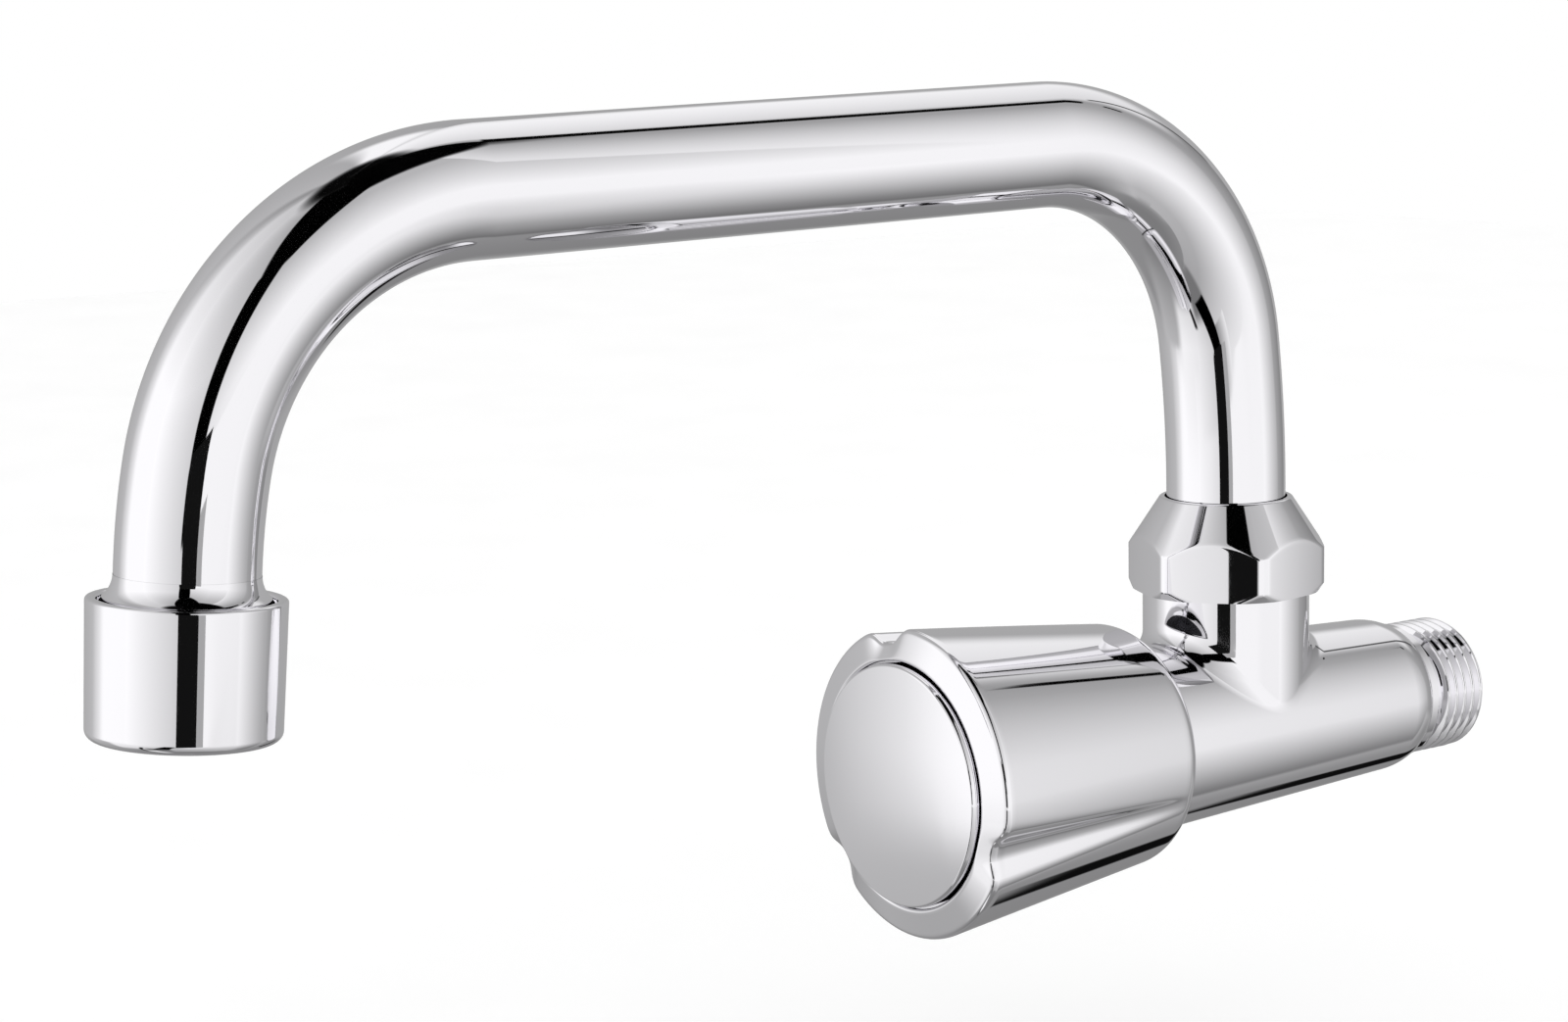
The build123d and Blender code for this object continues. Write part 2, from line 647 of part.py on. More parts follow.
def flute_cutter(angle):
    """A tapering round cutter whose track fades out before the knob's rear."""
    rear = KNOB_REAR + FLUTE_START
    front = FACE_FRONT + 2 * OVERRUN
    depth_rate = FLUTE_DEPTH / (KNOB_RIM - rear)
    radius_rate = (FLUTE_FRONT_RADIUS - FLUTE_REAR_RADIUS) / (KNOB_RIM - rear)
    sections = []
    for forward in (rear, front):
        radius = FLUTE_REAR_RADIUS + radius_rate * (forward - rear)
        floor = knob_radius(forward) - depth_rate * (forward - rear)
        middle = floor + radius
        centre = (middle * cos(radians(angle)), -forward, middle * sin(radians(angle)))
        sections.append(Plane(origin=centre, z_dir=(0, -1, 0)) * Circle(radius))
    return loft(sections, ruled=True)


def knob_shell():
    """The knob: a tapered shell with three flutes, a face recess and a boss."""
    cavity_rear = KNOB_REAR + KNOB_REAR_WALL
    shell = turned_about_body(
        [
            (KNOB_REAR, KNOB_OPENING_RADIUS),
            (KNOB_REAR, knob_radius(KNOB_REAR)),
            (KNOB_RIM, knob_radius(KNOB_RIM)),
            (FACE_FRONT, RECESS_RADIUS),
            (RECESS_FLOOR, RECESS_RADIUS),
            (RECESS_FLOOR, 0),
            (WEB_REAR, 0),
            (WEB_REAR, knob_radius(WEB_REAR) - KNOB_WALL),
            (cavity_rear, knob_radius(cavity_rear) - KNOB_WALL),
            (cavity_rear, KNOB_OPENING_RADIUS),
        ],
        {1: KNOB_REAR_FILLET, 2: KNOB_RIM_FILLET},
    )
    for index in range(FLUTE_COUNT):
        shell -= flute_cutter(FLUTE_ANGLE + index * 360 / FLUTE_COUNT)
    boss_rear = WEB_REAR - INSERT_LENGTH
    shell += ring_about_body(
        boss_rear, WEB_REAR + JOIN_DEPTH, INSERT_DIAMETER / 2, KNOB_BOSS_DIAMETER / 2
    )
    return shell - ring_about_body(
        WEB_REAR - OVERRUN, RECESS_FLOOR + OVERRUN, 0, SCREW_DIAMETER / 2 + FREE_CLEARANCE
    )


def knob_screw():
    """The screw that holds the knob on the spindle, with a cross slot."""
    head_front = RECESS_FLOOR + SCREW_HEAD_HEIGHT
    tip = SPINDLE_FRONT - SCREW_HOLE_DEPTH + SCREW_HOLE_SPARE
    screw = turned_about_body(
        [
            (tip, 0),
            (tip, SCREW_DIAMETER / 2),
            (RECESS_FLOOR, SCREW_DIAMETER / 2),
            (RECESS_FLOOR, SCREW_HEAD_DIAMETER / 2),
            (head_front, SCREW_HEAD_DIAMETER / 2),
            (head_front, 0),
        ],
        {4: SCREW_HEAD_ROUNDING},
    )
    slot = Pos(0, -head_front, 0) * Box(SCREW_SLOT_LENGTH, 2 * SCREW_SLOT_WIDTH, SCREW_SLOT_WIDTH)
    for turn in (0, 90):
        screw -= slot.rotate(Axis.Y, turn)
    return screw


def index_cap():
    """The slightly domed cap that closes the knob's face."""
    radius = RECESS_RADIUS - FREE_CLEARANCE
    edge = FACE_FRONT + CAP_RISE
    top = edge + CAP_DOME
    skirt = radius - CAP_SKIRT_WALL
    dome = ThreePointArc((radius, -edge), (radius / 2, -(edge + 0.75 * CAP_DOME)), (0, -top))
    rest = Polyline(
        (0, -top),
        (0, -(edge - CAP_THICKNESS)),
        (skirt, -(edge - CAP_THICKNESS)),
        (skirt, -RECESS_FLOOR),
        (radius, -RECESS_FLOOR),
        (radius, -edge),
    )
    cap = revolve(make_face(dome + rest), Axis.Y)
    rim = cap.edges().filter_by(GeomType.CIRCLE).filter_by(
        lambda edge_: abs(edge_.radius - radius) < 0.01
    )
    return fillet(rim.sort_by(Axis.Y)[0], CAP_EDGE_FILLET)


def spout_nut():
    """The chrome nut: a turned, coned blank with six milled flats."""
    corner = NUT_FLAT_RADIUS + NUT_CORNER_STEP
    bore = NECK_THREAD_RADIUS + THREAD_CLEARANCE
    blank = turned_about_neck(
        [
            (NUT_BOTTOM, bore),
            (NUT_BOTTOM, corner - NUT_CHAMFER),
            (NUT_BOTTOM + NUT_CHAMFER * 1.5, corner),
            (NUT_TOP - NUT_CONE_HEIGHT, corner),
            (NUT_TOP, TUBE_RADIUS + NUT_TOP_LAND),
            (NUT_TOP, NUT_HOLE_RADIUS),
            (NUT_ROOF_BOTTOM, NUT_HOLE_RADIUS),
            (NUT_ROOF_BOTTOM, bore),
        ],
        {4: EDGE_ROUNDING},
    )
    hexagon = RegularPolygon(NUT_FLAT_RADIUS, 6, major_radius=False)
    flats = extrude(hexagon, NUT_TOP - NUT_BOTTOM + 2 * OVERRUN)
    flats = Pos(0, -NECK_FORWARD, NUT_BOTTOM - OVERRUN) * Rot(0, 0, NUT_TURN) * flats
    return blank & flats


def slip_washer():
    """The washer that the spout's flange turns on."""
    return ring_about_neck(
        NECK_HEIGHT, SLIP_WASHER_TOP, SOCKET_RADIUS + GROOVE_CLEARANCE, FERRULE_FLANGE_RADIUS
    )


def keeper_ring():
    """The split ring between the flange and the nut's roof."""
    ring = ring_about_neck(KEEPER_BOTTOM, KEEPER_TOP, NUT_HOLE_RADIUS, FERRULE_FLANGE_RADIUS)
    gap = Box(2 * FERRULE_FLANGE_RADIUS, KEEPER_OPENING, 4 * KEEPER_THICKNESS)
    return ring - Pos(FERRULE_FLANGE_RADIUS, -NECK_FORWARD, KEEPER_BOTTOM) * gap


def ferrule_ring_heights():
    """Where the two O-rings sit on the spout's plug."""
    middle = (FERRULE_PLUG_BOTTOM + NECK_HEIGHT) / 2
    return [middle - FERRULE_RING_SPACING / 2, middle + FERRULE_RING_SPACING / 2]


def spout_ferrule():
    """The brass end of the spout: plug, flange and the spigot in the tube."""
    spigot = TUBE_BORE_RADIUS - PUSH_CLEARANCE
    ferrule = turned_about_neck(
        [
            (FERRULE_PLUG_BOTTOM, FERRULE_BORE_RADIUS),
            (FERRULE_PLUG_BOTTOM, FERRULE_PLUG_RADIUS),
            (FERRULE_FLANGE_BOTTOM, FERRULE_PLUG_RADIUS),
            (FERRULE_FLANGE_BOTTOM, FERRULE_FLANGE_RADIUS),
            (FERRULE_FLANGE_TOP, FERRULE_FLANGE_RADIUS),
            (FERRULE_FLANGE_TOP, spigot),
            (FERRULE_FLANGE_TOP + FERRULE_SPIGOT_LENGTH, spigot),
            (FERRULE_FLANGE_TOP + FERRULE_SPIGOT_LENGTH, FERRULE_BORE_RADIUS),
        ]
    )
    floor = SOCKET_RADIUS - FERRULE_RING_SECTION
    half = FERRULE_RING_SECTION / 2 + GROOVE_CLEARANCE
    for height in ferrule_ring_heights():
        ferrule -= ring_about_neck(
            height - half, height + half, floor, FERRULE_PLUG_RADIUS + OVERRUN
        )
    return ferrule


def ferrule_o_rings():
    """The two rubber rings that seal the swivel."""
    middle = SOCKET_RADIUS - FERRULE_RING_SECTION / 2
    rings = [
        section_ring("neck", height, middle, FERRULE_RING_SECTION - 2 * PUSH_CLEARANCE)
        for height in ferrule_ring_heights()
    ]
    return Compound(children=rings)


def spout_moves(drop_run):
    """The spout's centreline as runs and bends: (length or radius, turn)."""
    rear_turn = 90 + ARM_FALL - RISER_EASE_TURN
    front_turn = 90 - ARM_FALL - DROP_EASE_TURN - DROP_SPLAY
    return [
        (RISER_RUN, 0),
        (RISER_EASE_RADIUS, RISER_EASE_TURN),
        (REAR_BEND_RADIUS, rear_turn),
        (ARM_RUN, 0),
        (FRONT_BEND_RADIUS, front_turn),
        (DROP_EASE_RADIUS, DROP_EASE_TURN),
        (drop_run, 0),
    ]


def spout_path(drop_run):
    """The centreline, its end point and its end direction, forward and up."""
    edges = []
    forward = 0.0
    height = FERRULE_FLANGE_TOP
    heading = 90.0
    for size, turn in spout_moves(drop_run):
        start = (forward, height)
        direction = (cos(radians(heading)), sin(radians(heading)))
        if turn:
            new_heading = heading - turn
            forward += size * (sin(radians(heading)) - sin(radians(new_heading)))
            height += size * (cos(radians(new_heading)) - cos(radians(heading)))
            edges.append(JernArc(start, direction, size, -turn))
            heading = new_heading
        else:
            forward += size * direction[0]
            height += size * direction[1]
            edges.append(Line(start, (forward, height)))
    spout_plane = Plane(origin=(0, -NECK_FORWARD, 0), x_dir=(0, -1, 0), z_dir=(-1, 0, 0))
    return spout_plane * Wire(edges), (forward, height), heading


def spout_tube():
    """The bent tube, one wall all along."""
    path, _, _ = spout_path(DROP_RUN + SLEEVE_LENGTH)
    section_plane = Plane(origin=(0, -NECK_FORWARD, FERRULE_FLANGE_TOP), z_dir=(0, 0, 1))
    outside = sweep(section_plane * Circle(TUBE_RADIUS), path=path)
    inside = sweep(section_plane * Circle(TUBE_BORE_RADIUS), path=path)
    return outside - inside


def at_outlet(piece):
    """Moves a piece turned about Z, with +Z down the drop, to the cup's rim."""
    _, (forward, height), heading = spout_path(DROP_RUN)
    down = (0, -cos(radians(heading)), sin(radians(heading)))
    rim = Plane(origin=(0, -NECK_FORWARD - forward, height), x_dir=(1, 0, 0), z_dir=down)
    return rim * piece


def turned_at_outlet(outline, rounding=None):
    """A solid turned about the drop from (distance below the rim, radius) corners."""
    corners = [(radius, below) for below, radius in outline]
    face = Plane.XZ * outline_face(corners, rounding)
    return at_outlet(revolve(face, Axis.Z))


def disc_at_outlet(start, thickness, radius, hole_places, hole):
    """A round plate across the outlet with the same hole at every place."""
    plate = extrude(Circle(radius), thickness)
    holes = [Pos(x, y, -1) * extrude(hole, thickness + 2) for x, y in hole_places]
    return at_outlet(Pos(0, 0, start) * (plate - holes))


def hexagonal_places(pitch, limit):
    """Evenly spaced places in a hexagonal pattern, inside a circle."""
    rows = int(limit / pitch) + 2
    places = []
    for row in range(-rows, rows + 1):
        for column in range(-rows, rows + 1):
            x = pitch * (column + row / 2)
            y = pitch * row * sin(radians(60))
            if x * x + y * y <= limit * limit:
                places.append((x, y))
    return places


def outlet_sleeve():
    """The threaded sleeve brazed on the tube's end, flared into the cup."""
    inner = TUBE_RADIUS + PUSH_CLEARANCE
    thin = inner + SLEEVE_FLARE_EDGE
    flare = ThreePointArc(
        (thin, -SLEEVE_FLARE),
        (thin + (SLEEVE_RADIUS - thin) / 4, -0.3 * SLEEVE_FLARE),
        (SLEEVE_RADIUS, SLEEVE_FLARE_SINK),
    )
    rest = Polyline(
        (SLEEVE_RADIUS, SLEEVE_FLARE_SINK),
        (SLEEVE_RADIUS, SLEEVE_LENGTH),
        (inner, SLEEVE_LENGTH),
        (inner, -SLEEVE_FLARE),
        (thin, -SLEEVE_FLARE),
    )
    face = Plane.XZ * make_face(flare + rest)
    return at_outlet(revolve(face, Axis.Z))


def aerator_housing():
    """The chrome cup that holds the aerator, open round the tube at its rim."""
    return turned_at_outlet(
        [
            (0, CUP_MOUTH_RADIUS),
            (0, CUP_RIM_RADIUS),
            (CUP_HEIGHT, CUP_RIM_RADIUS - CUP_TAPER),
            (CUP_HEIGHT, CUP_LIP_RADIUS),
            (SHELL_END, CUP_LIP_RADIUS),
            (SHELL_END, CUP_BORE_RADIUS),
            (CUP_MOUTH_DEPTH, CUP_BORE_RADIUS),
            (CUP_MOUTH_DEPTH, CUP_MOUTH_RADIUS),
        ],
        {0: EDGE_ROUNDING, 1: EDGE_ROUNDING, 2: CUP_FILLET, 3: EDGE_ROUNDING},
    )


def outlet_washer():
    """The rubber washer between the sleeve and the aerator insert."""
    return turned_at_outlet(
        tube_outline(SLEEVE_LENGTH, SHELL_START, OUTLET_WASHER_BORE / 2, SHELL_RADIUS)
    )


def aerator_shell():
    """The plastic shell of the aerator insert, with a ledge for the grille."""
    ledge = SHELL_BORE_RADIUS - GRILLE_LEDGE_WIDTH
    return turned_at_outlet(
        [
            (SHELL_START, SHELL_BORE_RADIUS),
            (SHELL_START, SHELL_RADIUS),
            (SHELL_END, SHELL_RADIUS),
            (SHELL_END, SHELL_BORE_RADIUS),
            (GRILLE_START, SHELL_BORE_RADIUS),
            (GRILLE_START, ledge),
            (LEDGE_START, ledge),
            (LEDGE_START, SHELL_BORE_RADIUS),
        ]
    )


def aerator_diffuser():
    """The plate with a ring of small jets at the top of the insert."""
    reach = SHELL_BORE_RADIUS * 0.6
    places = []
    for index in range(DIFFUSER_HOLES):
        angle = 2 * pi * index / DIFFUSER_HOLES
        places.append((reach * cos(angle), reach * sin(angle)))
    return disc_at_outlet(
        SHELL_START,
        DIFFUSER_THICKNESS,
        SHELL_BORE_RADIUS - PUSH_CLEARANCE,
        places,
        Circle(DIFFUSER_HOLE_DIAMETER / 2),
    )


def aerator_screens():
    """The two mesh screens that mix air into the water."""
    places = hexagonal_places(SCREEN_HOLE_PITCH, SHELL_BORE_RADIUS - SCREEN_HOLE_DIAMETER)
    hole = Circle(SCREEN_HOLE_DIAMETER / 2)
    first = LEDGE_START - SCREEN_THICKNESS
    screens = [
        disc_at_outlet(
            first - index * SCREEN_SPACING,
            SCREEN_THICKNESS,
            SHELL_BORE_RADIUS - PUSH_CLEARANCE,
            places,
            hole,
        )
        for index in range(2)
    ]
    return Compound(children=screens)


def aerator_grille():
    """The honeycomb grille that straightens the stream."""
    radius = CUP_LIP_RADIUS - PUSH_CLEARANCE
    places = hexagonal_places(GRILLE_CELL_PITCH, radius - GRILLE_CELL_FLATS * 0.75)
    cell = RegularPolygon(GRILLE_CELL_FLATS / 2, 6, major_radius=False, rotation=30)
    return disc_at_outlet(GRILLE_START, GRILLE_THICKNESS, radius, places, cell)


PIECES = {
    "valve_body": valve_body,
    "cartridge_housing": cartridge_housing,
    "head_gasket": head_gasket,
    "cartridge_seal": cartridge_seal,
    "fixed_disc": fixed_disc,
    "moving_disc": moving_disc,
    "thrust_washer": thrust_washer,
    "spindle": spindle,
    "stem_o_rings": stem_o_rings,
    "stop_ring": stop_ring,
    "spindle_clip": spindle_clip,
    "knob_insert": knob_insert,
    "knob_shell": knob_shell,
    "knob_screw": knob_screw,
    "index_cap": index_cap,
    "spout_nut": spout_nut,
    "slip_washer": slip_washer,
    "keeper_ring": keeper_ring,
    "spout_ferrule": spout_ferrule,
    "ferrule_o_rings": ferrule_o_rings,
    "spout_tube": spout_tube,
    "outlet_sleeve": outlet_sleeve,
    "aerator_housing": aerator_housing,
    "outlet_washer": outlet_washer,
    "aerator_shell": aerator_shell,
    "aerator_diffuser": aerator_diffuser,
    "aerator_screens": aerator_screens,
    "aerator_grille": aerator_grille,
}


def main():
    """Writes each piece to its own file."""
    os.makedirs("parts", exist_ok=True)
    for name, make in PIECES.items():
        export_step(make(), os.path.join("parts", f"{name}.step"))


main()
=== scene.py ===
"""A chrome wall tap with a fluted knob and a swivel spout, in a white studio.

Sizes are in metres. The body's axis is the Y axis, with the wall towards +Y, and +Z is up.
Places along the body are given as distances forward, towards -Y, of the collar's face.
"""

import json
from math import asin, atan, atan2, cos, exp, pi, radians, sin, sqrt, tan

import bmesh
import bpy
from bpy.props import FloatProperty, FloatVectorProperty, IntProperty, PointerProperty, StringProperty
from mathutils import Matrix, Vector


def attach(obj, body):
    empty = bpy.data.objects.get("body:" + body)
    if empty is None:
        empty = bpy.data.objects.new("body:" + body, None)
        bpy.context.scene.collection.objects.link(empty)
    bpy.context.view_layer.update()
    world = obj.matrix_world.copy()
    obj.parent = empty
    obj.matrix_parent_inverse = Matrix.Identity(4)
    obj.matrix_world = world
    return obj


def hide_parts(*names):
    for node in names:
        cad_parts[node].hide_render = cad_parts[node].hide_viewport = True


bl_info = {
    "name": "Wall tap with swivel spout",
    "version": (1, 0, 0),
    "blender": (4, 5, 0),
    "location": "3D View > Sidebar > Tap",
    "description": "Builds the pieces of a chrome wall tap and the studio round it",
    "category": "Object",
}

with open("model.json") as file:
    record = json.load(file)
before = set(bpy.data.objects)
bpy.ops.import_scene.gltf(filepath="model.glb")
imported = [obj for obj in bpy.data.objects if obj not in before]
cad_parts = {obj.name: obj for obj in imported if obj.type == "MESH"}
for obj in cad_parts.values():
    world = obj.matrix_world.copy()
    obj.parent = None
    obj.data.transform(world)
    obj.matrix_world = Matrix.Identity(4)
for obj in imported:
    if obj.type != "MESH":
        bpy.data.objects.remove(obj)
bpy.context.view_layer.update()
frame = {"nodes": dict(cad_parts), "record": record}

X_AXIS = Vector((1, 0, 0))
Y_AXIS = Vector((0, 1, 0))
Z_AXIS = Vector((0, 0, 1))
ORIGIN = Vector((0, 0, 0))
NO_SHIFT = (0, 0, 0)
MILLIMETRE = 0.001
MERGE_DISTANCE = 0.001 * MILLIMETRE
SHARP_ANGLE = radians(32)
SCREEN_GAMMA = 2.2
# A noise's roughness and usual detail, and the two values that it seldom leaves
NOISE_ROUGHNESS, NOISE_DETAIL = 0.55, 3.0
NOISE_LOW, NOISE_HIGH = 0.3, 0.7


def length(name, description, millimetres):
    """A size that a user may change, given in millimetres and kept in metres."""
    return FloatProperty(
        name=name, description=description, default=millimetres * MILLIMETRE, unit="LENGTH", precision=5
    )


def angle(name, description, degrees_):
    """An angle that a user may change, given in degrees."""
    return FloatProperty(name=name, description=description, default=radians(degrees_), subtype="ANGLE")


def colour(name, description, hex_value):
    """A colour that a user may change, kept as its sRGB hex value."""
    return StringProperty(name=name, description=description, default=hex_value)


class BodySizes(bpy.types.PropertyGroup):
    """Sizes of the valve body."""

    front: length("Front", "Distance of the front face forward of the collar's face", 59.0)
    inlet_length: length("Inlet", "Length of the threaded inlet behind the collar", 11.0)
    thread_crest: length("Thread crest", "Diameter over the inlet thread's crests", 20.955)
    thread_root: length("Thread root", "Diameter at the inlet thread's roots", 18.632)
    thread_pitch: length("Pitch", "Pitch of the inlet's thread", 25.4 / 14)
    relief_width: length("Relief", "Width of the groove between thread and collar", 0.3)
    collar_width: length("Collar width", "Width of the collar", 1.5)
    collar_diameter: length("Collar diameter", "Diameter of the collar", 21.4)
    shoulder_length: length("Shoulder length", "Length of the rounded shoulder", 4.5)
    shoulder_drop: length("Shoulder drop", "Drop of the shoulder's radius towards the collar", 1.2)
    rear_diameter: length("Rear diameter", "Diameter where the taper starts", 24.2)
    front_diameter: length("Front diameter", "Diameter of the taper's front", 28.7)
    bore_diameter: length("Bore", "Diameter of the inlet's bore", 13.0)
    seat: length("Seat", "Distance forward of the cartridge's seat", 23.0)
    chamber_diameter: length("Chamber", "Diameter of the cartridge's chamber", 19.2)
    thread_rear: length("Thread rear", "Distance forward of the front thread's rear end", 48.0)
    thread_diameter: length("Thread", "Diameter of the front thread's bore", 20.5)
    window_rear: length("Window rear", "Distance forward of the rear of the opening under the neck", 27.0)
    window_front: length("Window front", "Distance forward of the front of the opening under the neck", 44.2)
    window_half: angle("Window half", "Half the angle of the opening under the neck", 41.25)
    neck_diameter: length("Neck", "Diameter of the neck", 25.3)
    neck_step: length("Neck step", "Height of the neck's step", 21.0)
    neck_top: length("Neck top", "Height of the neck's top", 26.0)
    neck_thread_diameter: length("Neck thread", "Diameter of the neck's thread", 23.8)
    socket_diameter: length("Socket", "Diameter of the swivel's socket", 17.12)
    socket_floor: length("Socket floor", "Height of the socket's floor", 11.05)
    port_diameter: length("Port", "Diameter of the port in the socket's floor", 12.0)
    port_foot: length("Port foot", "Height of the port's lower end", 9.9)
    blend_along: length("Blend along", "Radius between neck and barrel, in front of and behind the neck", 3.0)
    blend_across: length("Blend across", "Radius between neck and barrel, at the neck's sides", 7.0)


class SpoutSizes(bpy.types.PropertyGroup):
    """Sizes of the bent tube."""

    axis_forward: length("Swivel axis", "Distance of the swivel axis forward of the collar", 35.6)
    foot_height: length("Foot height", "Height at which the tube starts, inside the nut", 28.85)
    diameter: length("Diameter", "Outside diameter of the tube", 18.0)
    wall: length("Wall", "Thickness of the tube's wall", 1.0)
    riser_run: length("Riser", "Straight run up from the foot", 6.85)
    riser_ease_radius: length("Riser ease radius", "Radius of the riser's gentle lean", 190.0)
    riser_ease_turn: angle("Riser ease turn", "Turn of the riser's gentle lean", 7.2)
    rear_bend_radius: length("Rear bend radius", "Radius of the bend over the body", 35.0)
    arm_run: length("Arm", "Straight run of the arm", 94.3)
    arm_fall: angle("Arm fall", "Fall of the arm towards its front", 1.0)
    front_bend_radius: length("Front bend radius", "Radius of the bend above the outlet", 40.5)
    drop_ease_radius: length("Drop ease radius", "Radius of the drop's gentle curve", 93.6)
    drop_ease_turn: angle("Drop ease turn", "Turn of the drop's gentle curve", 8.1)
    drop_splay: angle("Drop splay", "Angle of the drop from upright", 4.4)
    drop_run: length("Drop", "Straight run down to the cup's rim", 2.7)
    end_run: length("End run", "Straight run on from the cup's rim, inside the cup", 7.5)
    segments: IntProperty(name="Segments", description="Faces round the tube", default=96)


class NutSizes(bpy.types.PropertyGroup):
    """Sizes of the coned hexagon nut."""

    bottom: length("Bottom", "Height of the nut's underside", 21.1)
    height: length("Height", "Height of the nut", 14.3)
    across_flats: length("Across flats", "Distance between two opposite flats", 27.3)
    corner_diameter: length("Corner diameter", "Diameter of the turned blank at its corners", 29.9)
    top_diameter: length("Top diameter", "Diameter of the cone's top", 20.0)
    cone_height: length("Cone height", "Height of the cone", 7.6)
    chamfer: length("Chamfer", "Depth of the chamfer round the underside", 0.8)
    hole_diameter: length("Hole", "Diameter of the hole round the tube", 18.6)
    bore_diameter: length("Bore", "Diameter of the bore round the neck", 23.9)
    roof: length("Roof", "Thickness of the roof over the bore", 5.4)
    turn: angle("Turn", "Turn of the hexagon about the swivel axis", -21.0)
    crown_radius: length("Crown radius", "Radius of the flats' slight crown", 62.0)
    sharpness: FloatProperty(name="Sharpness", description="Sharpness of the polished edges", default=180)


class KnobSizes(bpy.types.PropertyGroup):
    """Sizes of the fluted knob."""

    rear: length("Rear", "Distance of the rear face forward of the collar", 56.5)
    rim: length("Rim", "Distance of the front rim forward of the collar", 97.4)
    rear_diameter: length("Rear diameter", "Diameter of the taper at the rear face", 35.9)
    front_diameter: length("Front diameter", "Diameter of the taper at the rim", 45.4)
    rear_rounding: length("Rear rounding", "Radius of the rear edge", 3.6)
    rim_rounding: length("Rim rounding", "Radius of the front rim", 1.0)
    face_rise: length("Face rise", "Rise of the face from the rim to the recess", 1.3)
    recess_diameter: length("Recess diameter", "Diameter of the recess for the cap", 35.9)
    recess_depth: length("Recess depth", "Depth of the recess", 2.8)
    recess_rounding: length("Recess rounding", "Radius of the recess's edge", 0.5)
    opening_diameter: length("Opening", "Diameter of the rear opening round the body", 29.4)
    wall: length("Wall", "Thickness of the shell", 3.2)
    rear_wall: length("Rear wall", "Thickness of the rear face", 2.2)
    web: length("Web", "Thickness of the web behind the recess", 2.5)
    screw_hole_diameter: length("Screw hole", "Diameter of the hole in the web", 4.6)
    flute_angle: angle("Flute angle", "Angle of the first flute, from +X towards +Z", -18.0)
    flute_depth: length("Flute depth", "Depth of a flute at the rim", 2.3)
    flute_width: length("Flute width", "Half the width of a flute at the rim", 3.7)
    flute_start: length("Flute start", "Distance of a flute's end forward of the rear face", 2.0)
    segments: IntProperty(name="Segments", description="Faces round the knob", default=360)


class CapSizes(bpy.types.PropertyGroup):
    """Sizes of the domed cap in the knob's face."""

    gap: length("Gap", "Gap between cap and recess", 0.3)
    rise: length("Rise", "Height of the cap's edge over the knob's face", 0.9)
    dome: length("Dome", "Rise of the dome over the cap's edge", 0.9)
    edge_rounding: length("Edge rounding", "Radius of the cap's edge", 0.9)


class OutletSizes(bpy.types.PropertyGroup):
    """Sizes of the aerator's cup and of the sleeve that it hangs on."""

    rim_diameter: length("Rim diameter", "Diameter of the cup at its rim", 24.7)
    base_diameter: length("Base diameter", "Diameter of the cup at its base", 24.2)
    height: length("Height", "Height of the cup", 17.6)
    mouth_diameter: length("Mouth diameter", "Diameter of the rim's opening", 21.9)
    mouth_depth: length("Mouth depth", "Depth of the rim's opening", 1.3)
    bore_diameter: length("Bore", "Diameter of the cup's bore", 21.3)
    base_rounding: length("Base rounding", "Radius of the cup's lower edge", 1.3)
    rim_rounding: length("Rim rounding", "Radius of the rim's two edges", 0.4)
    lip_diameter: length("Lip diameter", "Diameter of the hole in the base", 18.6)
    lip_thickness: length("Lip thickness", "Thickness of the base's lip", 1.5)
    sleeve_diameter: length("Sleeve diameter", "Diameter of the sleeve inside the cup", 20.7)
    sleeve_length: length("Sleeve length", "Length of the sleeve below the cup's rim", 7.5)
    flare: length("Flare", "Height of the flare over the cup's rim", 2.8)


class Finishes(bpy.types.PropertyGroup):
    """Colours of the finishes, as sRGB hex values."""

    chrome: colour("Chrome plate", "Bright chrome plate", "F7F6F9")
    brass: colour("Brass", "Machined brass", "C9A45C")
    # The casting's near-black colour is painted shade inside and behind the knob
    casting: colour("Casting", "Casting inside the knob, left bare and darkened as painted shade", "303033")
    steel: colour("Stainless steel", "Stainless steel", "B4B4B6")
    ceramic: colour("Alumina", "Lapped alumina ceramic", "EFEBE2")
    rubber: colour("Nitrile rubber", "Moulded nitrile rubber", "1C1C1D")
    fibre: colour("Vulcanised fibre", "Pressed vulcanised fibre", "8F3B28")
    plastic: colour("Acetal", "Moulded acetal plastic", "E9E8E3")


class Studio(bpy.types.PropertyGroup):
    """Places of the camera and of the floor."""

    camera_azimuth: angle("Camera azimuth", "Azimuth of the camera's view", 54.75)
    camera_elevation: angle("Camera elevation", "Elevation of the camera's view", 9.04)
    camera_roll: angle("Camera roll", "Roll of the camera", -1.17)
    camera_place: FloatVectorProperty(
        name="Camera place", description="Where the camera stands", default=(0.363525, -0.375048, 0.11273),
        unit="LENGTH", precision=6,
    )
    lens: FloatProperty(name="Lens", description="Focal length on a 36 mm sensor, in mm", default=75.1)
    floor_drop: length("Floor drop", "Distance of the floor below the origin", 62.0)


def settings():
    """The scene's property groups."""
    return bpy.context.scene.tap


class TapSettings(bpy.types.PropertyGroup):
    """All that a user may change."""

    body: PointerProperty(type=BodySizes)
    spout: PointerProperty(type=SpoutSizes)
    nut: PointerProperty(type=NutSizes)
    knob: PointerProperty(type=KnobSizes)
    cap: PointerProperty(type=CapSizes)
    outlet: PointerProperty(type=OutletSizes)
    finishes: PointerProperty(type=Finishes)
    studio: PointerProperty(type=Studio)


def linear(hex_value):
    """The linear colour of an sRGB hex value."""
    channels = [int(hex_value[place:place + 2], 16) / 255 for place in (0, 2, 4)]
    return [c / 12.92 if c <= 0.04045 else ((c + 0.055) / 1.055) ** 2.4 for c in channels] + [1.0]


